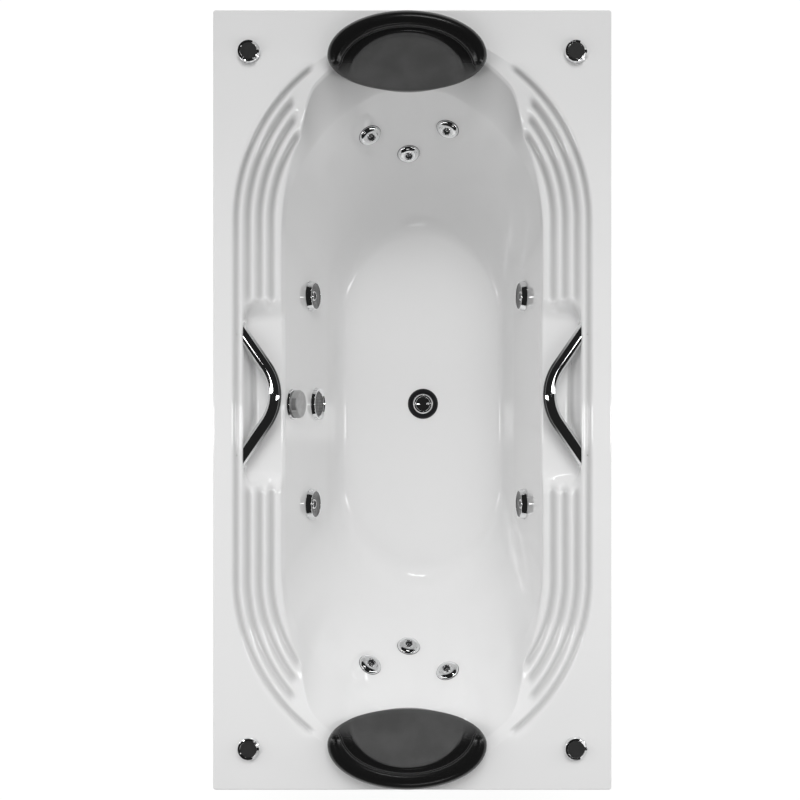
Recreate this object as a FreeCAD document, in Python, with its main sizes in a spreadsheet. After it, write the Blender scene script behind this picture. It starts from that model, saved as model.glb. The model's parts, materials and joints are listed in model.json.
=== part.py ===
import FreeCAD, Part
import Sketcher
import math
import os
from types import SimpleNamespace

# A drop-in jetted bathtub for two bathers, in millimetres, +Z up. The origin is on the floor, under the
# middle of the rim. The tub's length runs along Y and its width along X. The side wall at -X carries the
# overflow filler and the suction cover, and the pump stands under the backrest at the -Y end.

# Each size has one row: its name in the sheet, its value and what it measures.
SIZES = [
    ("tub_length", 1800, "rim, overall length"),
    ("tub_width", 920, "rim, overall width"),
    ("deck_height", 580, "top of the rim above the floor"),
    ("shell_wall", 8, "acrylic and its laminate"),
    ("lip_drop", 40, "height of the rim's downturned lip"),
    ("deck_corner", 6, "radius of the rim's corners"),
    ("deck_edge", 3, "rounding of the rim's top edge"),
    ("rim_half_width", 410, "oval where the flat rim ends"),
    ("rim_half_length", 854, "oval where the flat rim ends"),
    ("rim_stretch", 1.075, "that oval's curved end over its half width"),
    ("rim_end_share", 0.866, "radius over its end as a share of its half width"),
    ("edge_drop", 35, "lower edge of the ribbed terrace, below the rim"),
    ("edge_half_width", 306, "oval of that edge"),
    ("edge_half_length", 828, "oval of that edge"),
    ("edge_stretch", 1.46, "its curved end over its half width"),
    ("edge_end_share", 0.856, "radius over its end as a share of its half width"),
    ("seat_drop", 60, "crease between the pillow seat and the backrest, below the rim"),
    ("seat_half_width", 300, "oval of that crease"),
    ("seat_half_length", 735, "oval of that crease"),
    ("seat_stretch", 1.12, "its curved end over its half width"),
    ("seat_end_share", 0.933, "radius over its end as a share of its half width"),
    ("knee_drop", 330, "where the walls begin to curve into the floor, below the rim"),
    ("knee_half_width", 238.5, "oval of that line"),
    ("knee_half_length", 540, "oval of that line"),
    ("knee_stretch", 1.09, "its curved end over its half width"),
    ("knee_end_share", 0.797, "radius over its end as a share of its half width"),
    ("basin_depth", 420, "inside floor below the rim"),
    ("floor_half_width", 200, "oval of the flat floor"),
    ("floor_half_length", 430, "oval of the flat floor"),
    ("floor_stretch", 1.1, "its curved end over its half width"),
    ("floor_end_share", 0.75, "radius over its end as a share of its half width"),
    ("floor_shift", 32, "floor's centre line from the rim's, towards +X"),
    ("fittings_line", -10, "Y of the drain, the overflow filler and the suction cover"),
    ("seat_line", -7, "X of the pillows' and back jets' centre line"),
    ("rib_first", 2, "first groove inside the rim's oval"),
    ("rib_pitch", 26.5, "from groove to groove"),
    ("rib_half_width", 8.4, "half width of a groove at the terrace's face"),
    ("rib_depth", 4.5, "depth of a groove"),
    ("rib_start", 212, "end of the grooves beside the handles, from the handle's middle"),
    ("rib_sweep", 43, "turn of the second groove round the corner, degrees"),
    ("rib_sweep_step", 3.7, "how much less each further groove turns, degrees"),
    ("pocket_reach", 391, "outer wall of the hand pocket from the rim's centre line"),
    ("pocket_half_length", 200, "hand pocket at the rim"),
    ("pocket_drop", 48, "hand pocket's floor below the rim"),
    ("pocket_lean", 18, "how far the pocket's ends lean in"),
    ("pocket_swell", 24, "how far the foot of the pocket's wall swells inwards"),
    ("pocket_inset", 20, "how far the pocket runs in past the basin's edge"),
    ("handle_line", 12, "Y of the handles' middle"),
    ("handle_radius", 15.5, "bar of the handle"),
    ("handle_drop", 19, "axis of the bar below the rim"),
    ("handle_half_span", 140, "from the middle to where the axis meets the wall"),
    ("handle_lean", 34.5, "lean of the legs from the tub's length, degrees"),
    ("handle_bend", 115, "bend radius of the bar's axis"),
    ("stud_root", 5, "stud inside the handle"),
    ("stud_radius", 5, "fixing stud of the handle"),
    ("stud_length", 30, "stud beyond the end of the bar"),
    ("stud_nut_radius", 10, "nut on that stud, across its corners"),
    ("stud_nut_height", 8, "nut on that stud"),
    ("fit_gap", 0.3, "gap between curved faces that do not turn on each other"),
    ("spin_gap", 0.05, "running clearance round a shaft"),
    ("board_thickness", 18, "board laminated under the floor"),
    ("board_half_width", 180, "board laminated under the floor"),
    ("board_half_length", 400, "board laminated under the floor"),
    ("rail_side", 40, "square tube of the frame"),
    ("rail_wall", 2.5, "its wall"),
    ("rail_spread", 150, "rails from the floor's centre line"),
    ("rail_length", 1660, "rails"),
    ("cross_length", 890, "cross tubes"),
    ("cross_inner", 280, "inner cross tubes from the middle"),
    ("cross_outer", 800, "outer cross tubes from the middle"),
    ("post_side", 25, "square tube of the posts"),
    ("post_spread", 432, "posts from the rim's centre line"),
    ("foot_spread", 380, "levelling feet from the rim's centre line"),
    ("foot_pad_radius", 28, "pad of a levelling foot"),
    ("foot_pad_height", 10, "pad of a levelling foot"),
    ("foot_bolt_radius", 6, "bolt of a levelling foot"),
    ("foot_bolt_reach", 20, "bolt inside the cross tube"),
    ("foot_nut_height", 10, "lock nut of a levelling foot"),
    ("foot_nut_radius", 11, "lock nut, across its corners"),
    ("pillow_half_width", 183, "pillow's outline"),
    ("pillow_back", 96, "pillow's outline behind its widest line"),
    ("pillow_front", 76, "pillow's outline before its widest line"),
    ("pillow_line", 789, "pillow's widest line from the rim's middle"),
    ("pillow_tilt", 17, "lean of the pillow towards the bather, degrees"),
    ("pillow_crown", 34, "pillow's height over its widest line"),
    ("pillow_face", 0.8, "pillow's head face as a share of its outline"),
    ("pin_radius", 4, "push-in pins under the pillows"),
    ("pin_length", 26, "push-in pins under the pillows"),
    ("pin_spread", 95, "pins from the pillow's middle"),
    ("pin_line", 877, "pins from the rim's middle"),
    ("jet_grip", 8.2, "shell left between a fitting's flange and its nut"),
    ("back_jet_spread", 94, "outer back jets from the middle one"),
    ("back_jet_drop", 150, "outer back jets below the rim"),
    ("back_jet_low", 229, "middle back jet below the rim"),
    ("back_ring_radius", 27.5, "chrome ring of a back jet"),
    ("back_ring_height", 8.5, "chrome ring of a back jet"),
    ("back_flange_radius", 24, "flange of a back jet's body"),
    ("back_thread_radius", 19, "threaded tube of a back jet's body"),
    ("back_ball_radius", 12.5, "nozzle ball of a back jet"),
    ("back_ball_front", 9, "flat front of the ball"),
    ("back_bore", 5.5, "water way of a back jet"),
    ("side_jet_spread", 257, "side jets from the middle"),
    ("side_jet_drop", 215, "side jets below the rim"),
    ("side_face_radius", 38, "chrome face of a side jet"),
    ("side_face_height", 9, "chrome face of a side jet"),
    ("side_flange_radius", 34, "flange of a side jet's body"),
    ("side_thread_radius", 27, "threaded tube of a side jet's body"),
    ("side_ball_radius", 16, "nozzle ball of a side jet"),
    ("side_ball_front", 12, "flat front of the ball"),
    ("side_bore", 7, "water way of a side jet"),
    ("flange_height", 3, "flange of every jet body"),
    ("thread_length", 34, "threaded tube of every jet body behind the shell's face"),
    ("barb_radius", 13, "hose barb of every jet body"),
    ("barb_length", 24, "hose barb of every jet body"),
    ("nut_height", 9, "nut of every fitting"),
    ("nut_margin", 5, "nut past the thread of its fitting"),
    ("overflow_drop", 101, "overflow filler below the rim"),
    ("overflow_radius", 37, "ring of the overflow filler"),
    ("overflow_ring_height", 5, "ring of the overflow filler"),
    ("overflow_thread", 24, "threaded tube of the overflow filler"),
    ("overflow_cap_radius", 33, "turning cap of the overflow filler"),
    ("overflow_cap_front", 24, "face of the cap above the wall"),
    ("overflow_stem", 8, "stem that carries the cap"),
    ("suction_drop", 255, "suction cover below the rim"),
    ("suction_radius", 41, "suction cover"),
    ("suction_height", 7, "suction cover"),
    ("suction_thread", 30, "threaded tube of the suction fitting"),
    ("suction_bore", 24, "water way of the suction fitting"),
    ("suction_port_length", 50, "angled port of the suction fitting"),
    ("hose_bend", 45, "bend of the overflow hose"),
    ("suction_pipe_radius", 22, "suction pipe"),
    ("spout_length", 42, "spouts that the overflow hose is pushed on"),
    ("suction_slots", 12, "slots round the cover's rim"),
    ("control_x", 377, "corner controls from the rim's centre line"),
    ("control_y", 803, "corner controls from the rim's middle"),
    ("control_radius", 26.5, "cap of a corner control"),
    ("control_height", 14, "cap of a corner control"),
    ("control_disc", 19, "sunk disc on top of the cap"),
    ("control_flange", 22, "flange of a corner control's body"),
    ("control_thread", 15, "threaded tube of a corner control"),
    ("control_length", 55, "threaded tube below the rim"),
    ("control_pin", 8, "spigot that carries the cap"),
    ("button_travel", 4, "travel of the start button"),
    ("drain_radius", 39.5, "black flange of the drain"),
    ("drain_height", 4, "flange above the floor"),
    ("drain_mouth", 27, "opening of the flange"),
    ("drain_tube", 24, "threaded tube of the flange"),
    ("drain_wall", 3, "wall of the drain's tubes"),
    ("plug_radius", 26, "chrome cap of the drain plug"),
    ("plug_height", 7, "dome of the plug"),
    ("plug_lift", 10, "travel of the plug"),
    ("plug_stem", 4, "stem of the plug"),
    ("waste_radius", 30, "waste body under the board"),
    ("waste_bottom", 58, "underside of the waste body above the floor"),
    ("tail_radius", 20, "tailpiece to the house drain"),
    ("tail_bottom", 8, "end of the tailpiece above the floor"),
    ("hose_radius", 16, "overflow hose"),
    ("main_radius", 14, "ring main that feeds the jets"),
    ("main_height", 365, "ring main above the floor"),
    ("elbow_radius", 19, "elbows in the ring main's corners"),
    ("branch_radius", 11, "branch from the ring main to a jet"),
    ("branch_lead", 18, "straight start of each branch behind its jet"),
    ("air_radius", 8, "air tubes"),
    ("pump_y", -722, "axis of the pump from the rim's middle"),
    ("pump_x", -140, "middle of the volute"),
    ("pump_axis", 76, "axis of the pump above its plate"),
    ("plate_thickness", 5, "plate under the pump"),
    ("volute_radius", 70, "volute"),
    ("volute_width", 64, "volute"),
    ("volute_wall", 5, "volute"),
    ("port_radius", 25, "suction and pressure ports"),
    ("port_length", 40, "suction and pressure ports"),
    ("port_rise", 15, "pressure port above the volute"),
    ("port_bore", 19, "suction and pressure ports"),
    ("motor_radius", 64, "motor housing"),
    ("motor_length", 190, "motor housing"),
    ("motor_fins", 18, "cooling fins round the motor"),
    ("fin_height", 7, "cooling fins"),
    ("fin_thickness", 3, "cooling fins"),
    ("shaft_radius", 8, "motor shaft"),
    ("impeller_radius", 52, "impeller"),
    ("impeller_blades", 6, "impeller"),
    ("fan_radius", 52, "cooling fan"),
    ("fan_blades", 7, "cooling fan"),
    ("cowl_length", 38, "fan cowl"),
    ("cowl_wall", 2, "fan cowl"),
]

FLOOR_STEPS = (0.5,)
RIB_COUNT = 4
UP = FreeCAD.Vector(0, 0, 1)
Vec = FreeCAD.Vector
doc = FreeCAD.newDocument("Bathtub")
nodes = []


# ---------------------------------------------------------------- sizes and expressions

class Size(float):
    """A number that remembers how the sheet's expressions write it."""

    def __new__(cls, value, text):
        size = super().__new__(cls, value)
        size.text = text
        return size

    def __add__(self, other):
        return joined(self, "+", other, float(self) + float(other))

    def __radd__(self, other):
        return joined(other, "+", self, float(other) + float(self))

    def __sub__(self, other):
        return joined(self, "-", other, float(self) - float(other))

    def __rsub__(self, other):
        return joined(other, "-", self, float(other) - float(self))

    def __mul__(self, other):
        return joined(self, "*", other, float(self) * float(other))

    def __rmul__(self, other):
        return joined(other, "*", self, float(other) * float(self))

    def __truediv__(self, other):
        return joined(self, "/", other, float(self) / float(other))

    def __neg__(self):
        return joined(0, "-", self, -float(self))


def text_of(value):
    return value.text if isinstance(value, Size) else f"{float(value):.8g}"


def joined(left, sign, right, value):
    return Size(value, f"({text_of(left)} {sign} {text_of(right)})")


def fill_sheet():
    """Write the sizes into a spreadsheet and give them back by name."""
    sheet = doc.addObject("Spreadsheet::Sheet", "Sizes")
    for row, (name, value, note) in enumerate(SIZES, start=1):
        sheet.set(f"A{row}", name)
        sheet.set(f"B{row}", str(value))
        sheet.setAlias(f"B{row}", name)
        sheet.set(f"C{row}", note)
    doc.recompute()
    return SimpleNamespace(**{name: Size(sheet.get(name), f"Sizes.{name}") for name, _, _ in SIZES})


S = fill_sheet()


def bind(thing, **values):
    """Tie properties to the sheet: bind(box, Length=S.rail_length)."""
    for name, value in values.items():
        thing.setExpression(name.replace("__", "."), text_of(value))
    return thing


def node(thing, label):
    """Name a finished sub-part and keep it for the hand-in."""
    thing.Label = label
    nodes.append(thing)
    return thing


# ---------------------------------------------------------------- helpers that make solids

def origin_plane(body, role):
    return next(item for item in body.Origin.OriginFeatures if item.Role == role)


def arc_between(start, end, radius):
    """Circle through two points; a positive radius turns left on the way, a negative one right."""
    chord = end - start
    side = Vec(-chord.y, chord.x, 0).normalize()
    reach = math.sqrt(max(radius ** 2 - (chord.Length / 2) ** 2, 0.0))
    centre = (start + end) * 0.5 + side * math.copysign(reach, radius)
    first, last = (start, end) if radius > 0 else (end, start)
    angles = [math.atan2(p.y - centre.y, p.x - centre.x) for p in (first, last)]
    return Part.ArcOfCircle(Part.Circle(centre, UP, abs(radius)), angles[0], angles[1])


def outline(body, points, role="XZ_Plane"):
    """A closed sketch through points. A third number is the radius of the arc that leaves the point."""
    sketch = body.newObject("Sketcher::SketchObject", "Outline")
    sketch.AttachmentSupport = [(origin_plane(body, role), "")]
    sketch.MapMode = "FlatFace"
    corners = [Vec(point[0], point[1], 0) for point in points]
    ends = []
    for index, point in enumerate(points):
        start, end = corners[index], corners[(index + 1) % len(points)]
        radius = point[2] if len(point) > 2 else None
        shape = Part.LineSegment(start, end) if radius is None else arc_between(start, end, radius)
        edge = sketch.addGeometry(shape, False)
        ends.append((1, 2) if radius is None or radius > 0 else (2, 1))
        if radius is not None:
            size = radius if radius > 0 else -radius
            rule = sketch.addConstraint(Sketcher.Constraint("Radius", edge, float(size)))
            sketch.setExpression(f"Constraints[{rule}]", text_of(size))
    for index, point in enumerate(points):
        after = (index + 1) % len(points)
        sketch.addConstraint(Sketcher.Constraint("Coincident", index, ends[index][1], after, ends[after][0]))
        for kind, axis, value in (("DistanceX", -2, point[0]), ("DistanceY", -1, point[1])):
            if not isinstance(value, Size) and value == 0:
                sketch.addConstraint(Sketcher.Constraint("PointOnObject", index, ends[index][0], axis))
                continue
            rule = sketch.addConstraint(Sketcher.Constraint(kind, -1, 1, index, ends[index][0], float(value)))
            sketch.setExpression(f"Constraints[{rule}]", text_of(value))
    return sketch


def turned(name, points, placement=None):
    """A body turned round its own Z from a half outline of (radius, height) points."""
    body = doc.addObject("PartDesign::Body", name)
    sketch = outline(body, points)
    turn = body.newObject("PartDesign::Revolution", "Turn")
    turn.Profile = sketch
    turn.ReferenceAxis = (sketch, ["V_Axis"])
    turn.Angle = 360
    if placement is not None:
        body.Placement = placement
    return body


def block(name, size, corner):
    """A box with its sizes and its low corner tied to the sheet."""
    box = doc.addObject("Part::Box", name)
    bind(box, Length=size[0], Width=size[1], Height=size[2])
    return bind(box, Placement__Base__x=corner[0], Placement__Base__y=corner[1], Placement__Base__z=corner[2])


def rod(name, radius, height, placement=None):
    """A cylinder along its own Z."""
    cylinder = bind(doc.addObject("Part::Cylinder", name), Radius=radius, Height=height)
    if placement is not None:
        cylinder.Placement = placement
    return cylinder


def cut(name, base, tool):
    made = doc.addObject("Part::Cut", name)
    made.Base = base
    made.Tool = tool
    return made


def fused(name, parts):
    made = doc.addObject("Part::MultiFuse", name)
    made.Shapes = parts
    made.Refine = False
    return made


def group(name, parts):
    made = doc.addObject("Part::Compound", name)
    made.Links = parts
    return made


def solid(name, shape):
    """A shape that only Part's own functions can make."""
    feature = doc.addObject("Part::Feature", name)
    feature.Shape = shape
    return feature


def at(x, y, z):
    return FreeCAD.Placement(Vec(x, y, z), FreeCAD.Rotation())


def array(name, piece, placements):
    """The same piece at each placement."""
    link = doc.addObject("App::Link", f"{name}_array")
    link.LinkedObject = piece
    link.ShowElement = False
    link.ElementCount = len(placements)
    link.PlacementList = placements
    return link


def ring_of(name, size, corner, count):
    """Like blocks turned round the origin's Z; the first has its low corner at corner."""
    middle = Vec(0, 0, 0)
    turns = [FreeCAD.Placement(middle, FreeCAD.Rotation(UP, 360 * turn / count)) for turn in range(count)]
    return array(name, block(f"{name}Block", size, (0, 0, 0)), [turn * at(*corner) for turn in turns])


def copies(label, piece, placements):
    """One node that holds a like piece at each placement."""
    return node(group(label, [array(label, piece, placements)]), label)


def facing(point, normal):
    """Placement that stands a piece's own Z on a wall."""
    return FreeCAD.Placement(point, FreeCAD.Rotation(UP, normal))


def path_with_bends(points, radius):
    """Straight runs joined by tangent arcs of one radius."""
    edges = []
    start = points[0]
    for before, corner, after in zip(points, points[1:], points[2:]):
        back = (before - corner).normalize()
        ahead = (after - corner).normalize()
        half_angle = back.getAngle(ahead) / 2
        run = radius / math.tan(half_angle)
        middle = corner + (back + ahead).normalize() * (radius / math.sin(half_angle) - radius)
        edges.append(Part.LineSegment(start, corner + back * run).toShape())
        edges.append(Part.Arc(corner + back * run, middle, corner + ahead * run).toShape())
        start = corner + ahead * run
    edges.append(Part.LineSegment(start, points[-1]).toShape())
    return Part.Wire(edges)


def pipe(path, radius):
    """A round bar along a path."""
    start = path.Edges[0].Vertexes[0].Point
    ahead = path.Edges[0].tangentAt(path.Edges[0].FirstParameter)
    ring = Part.Wire(Part.makeCircle(radius, start, ahead))
    return path.makePipeShell([ring], True, False)


def elbowed(points, radius):
    """A round bar along straight runs that meet in mitred elbows."""
    ring = Part.Wire(Part.makeCircle(radius, points[0], points[1] - points[0]))
    return Part.makePolygon(points).makePipeShell([ring], True, False, 1)


def groove_bar(path):
    """A bar of the grooves' section along a level path: flat below, with slanting sides."""
    start = path.Edges[0].Vertexes[0].Point
    ahead = path.Edges[0].tangentAt(path.Edges[0].FirstParameter)
    across = ahead.cross(UP)
    wide, narrow = float(S.rib_half_width) * 2, float(S.rib_half_width) / 3
    spots = [start + across * narrow, start + across * wide + UP * groove_height,
             start - across * wide + UP * groove_height, start - across * narrow]
    return path.makePipeShell([Part.makePolygon(spots + spots[:1])], True, False)


# ---------------------------------------------------------------- levels and centre lines

floor_top = S.deck_height - S.basin_depth
board_bottom = floor_top - S.shell_wall - S.board_thickness
rail_bottom = board_bottom - S.rail_side
foot_top = rail_bottom - S.rail_side
pump_height = board_bottom + S.plate_thickness + S.pump_axis
groove_height = float(S.rib_depth) * 2.5


# ---------------------------------------------------------------- the basin's form

def level(stem, drop):
    """One oval of the basin: drop below the rim, half width, half length, straight side, end radius."""
    half_width, half_length, stretch, share = (
        float(getattr(S, f"{stem}_{part}")) for part in ("half_width", "half_length", "stretch", "end_share"))
    return [float(drop), half_width, half_length, half_length - stretch * half_width, share * half_width]


def blend(first, corner, last, share):
    """Point of the parabola that leaves first and reaches last, both towards corner."""
    weights = ((1 - share) ** 2, 2 * share * (1 - share), share ** 2)
    return [sum(w * v for w, v in zip(weights, values)) for values in zip(first, corner, last)]


def basin_levels():
    rim = level("rim", 0)
    edge = level("edge", S.edge_drop)
    seat = level("seat", S.seat_drop)
    knee = level("knee", S.knee_drop)
    floor = level("floor", S.basin_depth)
    share = (S.basin_depth - S.knee_drop) / (S.knee_drop - S.seat_drop)
    corner = [low + float(share) * (low - high) for high, low in zip(seat, knee)]
    return [rim, edge, seat, knee] + [blend(knee, corner, floor, step) for step in FLOOR_STEPS] + [floor]


def side_radius(half_width, half_length, straight, end_radius):
    """Radius that leaves the straight side and runs into the end's arc without a kink."""
    rise = half_length - end_radius - straight
    return (half_width ** 2 + rise ** 2 - end_radius ** 2) / (2 * (half_width - end_radius))


def oval(sizes, z, shift=0.0):
    """A closed outline of eight edges: straight sides, side arcs and end arcs."""
    half_width, half_length, straight, end_radius = sizes
    radius = side_radius(*sizes)
    end_centre = Vec(0, half_length - end_radius, 0)
    side_centre = Vec(half_width - radius, straight, 0)
    ahead = (end_centre - side_centre).normalize()
    joint = end_centre + ahead * end_radius
    half_turn = math.atan2(ahead.y, ahead.x) / 2
    belly = side_centre + Vec(math.cos(half_turn), math.sin(half_turn), 0) * radius

    def put(point, sx=1, sy=1):
        return Vec(shift + sx * point.x, sy * point.y, z)

    side = Vec(half_width, straight, 0)
    apex = Vec(0, half_length, 0)
    edges = [
        Part.LineSegment(put(side, 1, -1), put(side)),
        Part.Arc(put(side), put(belly), put(joint)),
        Part.Arc(put(joint), put(apex), put(joint, -1)),
        Part.Arc(put(joint, -1), put(belly, -1), put(side, -1)),
        Part.LineSegment(put(side, -1), put(side, -1, -1)),
        Part.Arc(put(side, -1, -1), put(belly, -1, -1), put(joint, -1, -1)),
        Part.Arc(put(joint, -1, -1), put(apex, 1, -1), put(joint, 1, -1)),
        Part.Arc(put(joint, 1, -1), put(belly, 1, -1), put(side, 1, -1)),
    ]
    return Part.Wire([edge.toShape() for edge in edges])


def basin(grow, lift):
    """The basin as a solid, grown all round; its straight collar on top is lift high."""
    wires = []
    for index, (drop, half_width, half_length, straight, end_radius) in enumerate(basin_levels()):
        sizes = (half_width + grow, half_length + grow, straight, end_radius + grow)
        sunk = max(drop - S.edge_drop, 0.0) / (S.basin_depth - S.edge_drop)
        z = S.deck_height - drop - grow
        if index == 0:
            wires.append(oval(sizes, z + lift))
        wires.append(oval(sizes, z, float(S.floor_shift * sunk)))
    return Part.makeLoft(wires, True, True)


def pocket(grow, lift):
    """Hand pocket at +X: straight at the rim, its wall's foot swelling towards the bather."""
    reach = S.pocket_reach + grow
    inner = S.seat_half_width - S.pocket_inset
    plain = S.handle_half_span - S.handle_radius / math.sin(math.radians(S.handle_lean))
    top = S.deck_height
    rings = ((top - grow + lift, 0, 0), (top - grow, 0, 0),
             (top - S.pocket_drop - grow, S.pocket_lean, S.pocket_swell))
    wires = []
    for z, lean, swell in rings:
        half = S.pocket_half_length + grow - lean
        spots = [(inner, -half), (reach, -half), (reach, -plain),
                 (reach, plain), (reach, half), (inner, half)]
        corners = [Vec(x, S.handle_line + y, z) for x, y in spots]
        edges = [Part.LineSegment(a, b).toShape() for a, b in zip(corners, corners[1:] + corners[:1])]
        if swell:
            edges[2] = Part.Arc(corners[2], Vec(reach - swell, S.handle_line, z), corners[3]).toShape()
        wires.append(Part.Wire(edges))
    return Part.makeLoft(wires, True, True)


def rib_path(number, side, end):
    """A groove beside the handle, along the terrace and round one corner, at its own depth."""
    rim = level("rim", 0)[1:]
    inset = S.rib_first + number * S.rib_pitch
    radius = side_radius(*rim) - inset
    centre = Vec(rim[0] - inset - radius, rim[2], 0)
    turn = math.radians(S.rib_sweep - (number - 1) * S.rib_sweep_step)
    depth = S.edge_drop * inset / (S.rim_half_width - S.edge_half_width)
    z = float(S.deck_height - depth - S.rib_depth)
    first = Vec(side * (centre.x + radius), end * S.rib_start + S.handle_line, z)
    spots = [Vec(side * (centre.x + radius * math.cos(angle)),
                 end * (centre.y + radius * math.sin(angle)), z) for angle in (0, turn / 2, turn)]
    return Part.Wire([Part.LineSegment(first, spots[0]).toShape(), Part.Arc(*spots).toShape()])


def rib_tools():
    """Every groove's cutter, with a round end where it runs out."""
    wide, narrow = float(S.rib_half_width) * 2, float(S.rib_half_width) / 3
    tools = []
    for number in range(1, RIB_COUNT):
        for side in (-1, 1):
            for end in (-1, 1):
                path = rib_path(number, side, end)
                ends = [path.OrderedVertexes[0].Point, path.OrderedVertexes[-1].Point]
                scoops = [Part.makeCone(narrow, wide, groove_height, point) for point in ends]
                tools.append(groove_bar(path).fuse(scoops))
    return tools


def rim_groove():
    """The first groove, which runs all the way round the oval."""
    half_width, half_length, straight, end_radius = level("rim", 0)[1:]
    inset = float(S.rib_first)
    sizes = (half_width - inset, half_length - inset, straight, end_radius - inset)
    return groove_bar(oval(sizes, float(S.deck_height - S.rib_depth)))


# ---------------------------------------------------------------- where the fittings sit

void = basin(0.0, 5.0)


def wall_spot(start, direction):
    """Where a straight line from inside meets the basin, and the wall's own direction there."""
    reach = Part.makeLine(start, start + direction * float(S.tub_length))
    ends = void.common(reach).Vertexes
    point = max((vertex.Point for vertex in ends), key=lambda spot: (spot - start).Length)
    face = min(void.Faces, key=lambda item: item.distToShape(Part.Vertex(point))[0])
    outward = face.normalAt(*face.Surface.parameter(point))
    return facing(point, -outward)


def back_seats():
    """Three back jets at each end: the outer two high, the middle one lower."""
    seats = []
    for end in (1, -1):
        for across, drop in ((-1, S.back_jet_drop), (0, S.back_jet_low), (1, S.back_jet_drop)):
            x = S.seat_line + across * S.back_jet_spread
            seats.append(wall_spot(Vec(x, 0, S.deck_height - drop), Vec(0, end, 0)))
    return seats


def side_seats():
    height = S.deck_height - S.side_jet_drop
    return [wall_spot(Vec(0, end * S.side_jet_spread, height), Vec(side, 0, 0))
            for side in (-1, 1) for end in (1, -1)]


def filler_seat(drop):
    return wall_spot(Vec(0, S.fittings_line, S.deck_height - drop), Vec(-1, 0, 0))


BACK_SEATS = back_seats()
SIDE_SEATS = side_seats()
OVERFLOW_SEAT = filler_seat(S.overflow_drop)
SUCTION_SEAT = filler_seat(S.suction_drop)
CONTROL_SEATS = [at(side * S.control_x, end * S.control_y, S.deck_height)
                 for side, end in ((-1, 1), (1, 1), (-1, -1), (1, -1))]
DRAIN_SEAT = at(S.floor_shift, S.fittings_line, floor_top)
PIN_SEATS = [at(S.seat_line + side * S.pin_spread, end * S.pin_line, S.deck_height + S.fit_gap - S.pin_length)
             for end in (1, -1) for side in (-1, 1)]
STUD_SEATS = [facing(Vec(side * S.pocket_reach, S.handle_line + end * S.handle_half_span,
                         S.deck_height - S.handle_drop), Vec(side, 0, 0))
              for side in (-1, 1) for end in (-1, 1)]


# ---------------------------------------------------------------- shell, board and frame

def deck_tray():
    """The flat rim with its lip, as a tray without an opening."""
    body = doc.addObject("PartDesign::Body", "Deck")
    half_x, half_y = S.tub_width / 2, S.tub_length / 2
    around = [(-half_x, -half_y), (half_x, -half_y), (half_x, half_y), (-half_x, half_y)]
    sketch = outline(body, around, "XY_Plane")
    slab = body.newObject("PartDesign::Pad", "Slab")
    slab.Profile = sketch
    bind(slab, Length=S.lip_drop)
    doc.recompute()
    upright = [f"Edge{n}" for n, edge in enumerate(slab.Shape.Edges, 1) if abs(edge.tangentAt(0).z) > 0.9]
    corners = body.newObject("PartDesign::Fillet", "Corners")
    corners.Base = (slab, upright)
    bind(corners, Radius=S.deck_corner)
    doc.recompute()
    top = [f"Edge{n}" for n, edge in enumerate(corners.Shape.Edges, 1)
           if min(vertex.Z for vertex in edge.Vertexes) > S.lip_drop - 1]
    rounding = body.newObject("PartDesign::Fillet", "TopEdge")
    rounding.Base = (corners, top)
    bind(rounding, Radius=S.deck_edge)
    doc.recompute()
    in_x, in_y = half_x - S.shell_wall, half_y - S.shell_wall
    hollow = outline(body, [(-in_x, -in_y), (in_x, -in_y), (in_x, in_y), (-in_x, in_y)], "XY_Plane")
    pocket_cut = body.newObject("PartDesign::Pocket", "Underside")
    pocket_cut.Profile = hollow
    pocket_cut.Reversed = True
    bind(pocket_cut, Length=S.lip_drop - S.shell_wall)
    return bind(body, Placement__Base__z=S.deck_height - S.lip_drop)


def seat_tool(name, hole, front, back, placements):
    """Cutter for a fitting: its hole, and flat seats for its flange and its nut."""
    deep = S.jet_grip + 4 * S.nut_height
    tool = turned(name, [(0, -deep), (back, -deep), (back, -S.jet_grip), (hole, -S.jet_grip), (hole, 0),
                         (front, 0), (front, deep), (0, deep)])
    return array(name, tool, placements)


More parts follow.
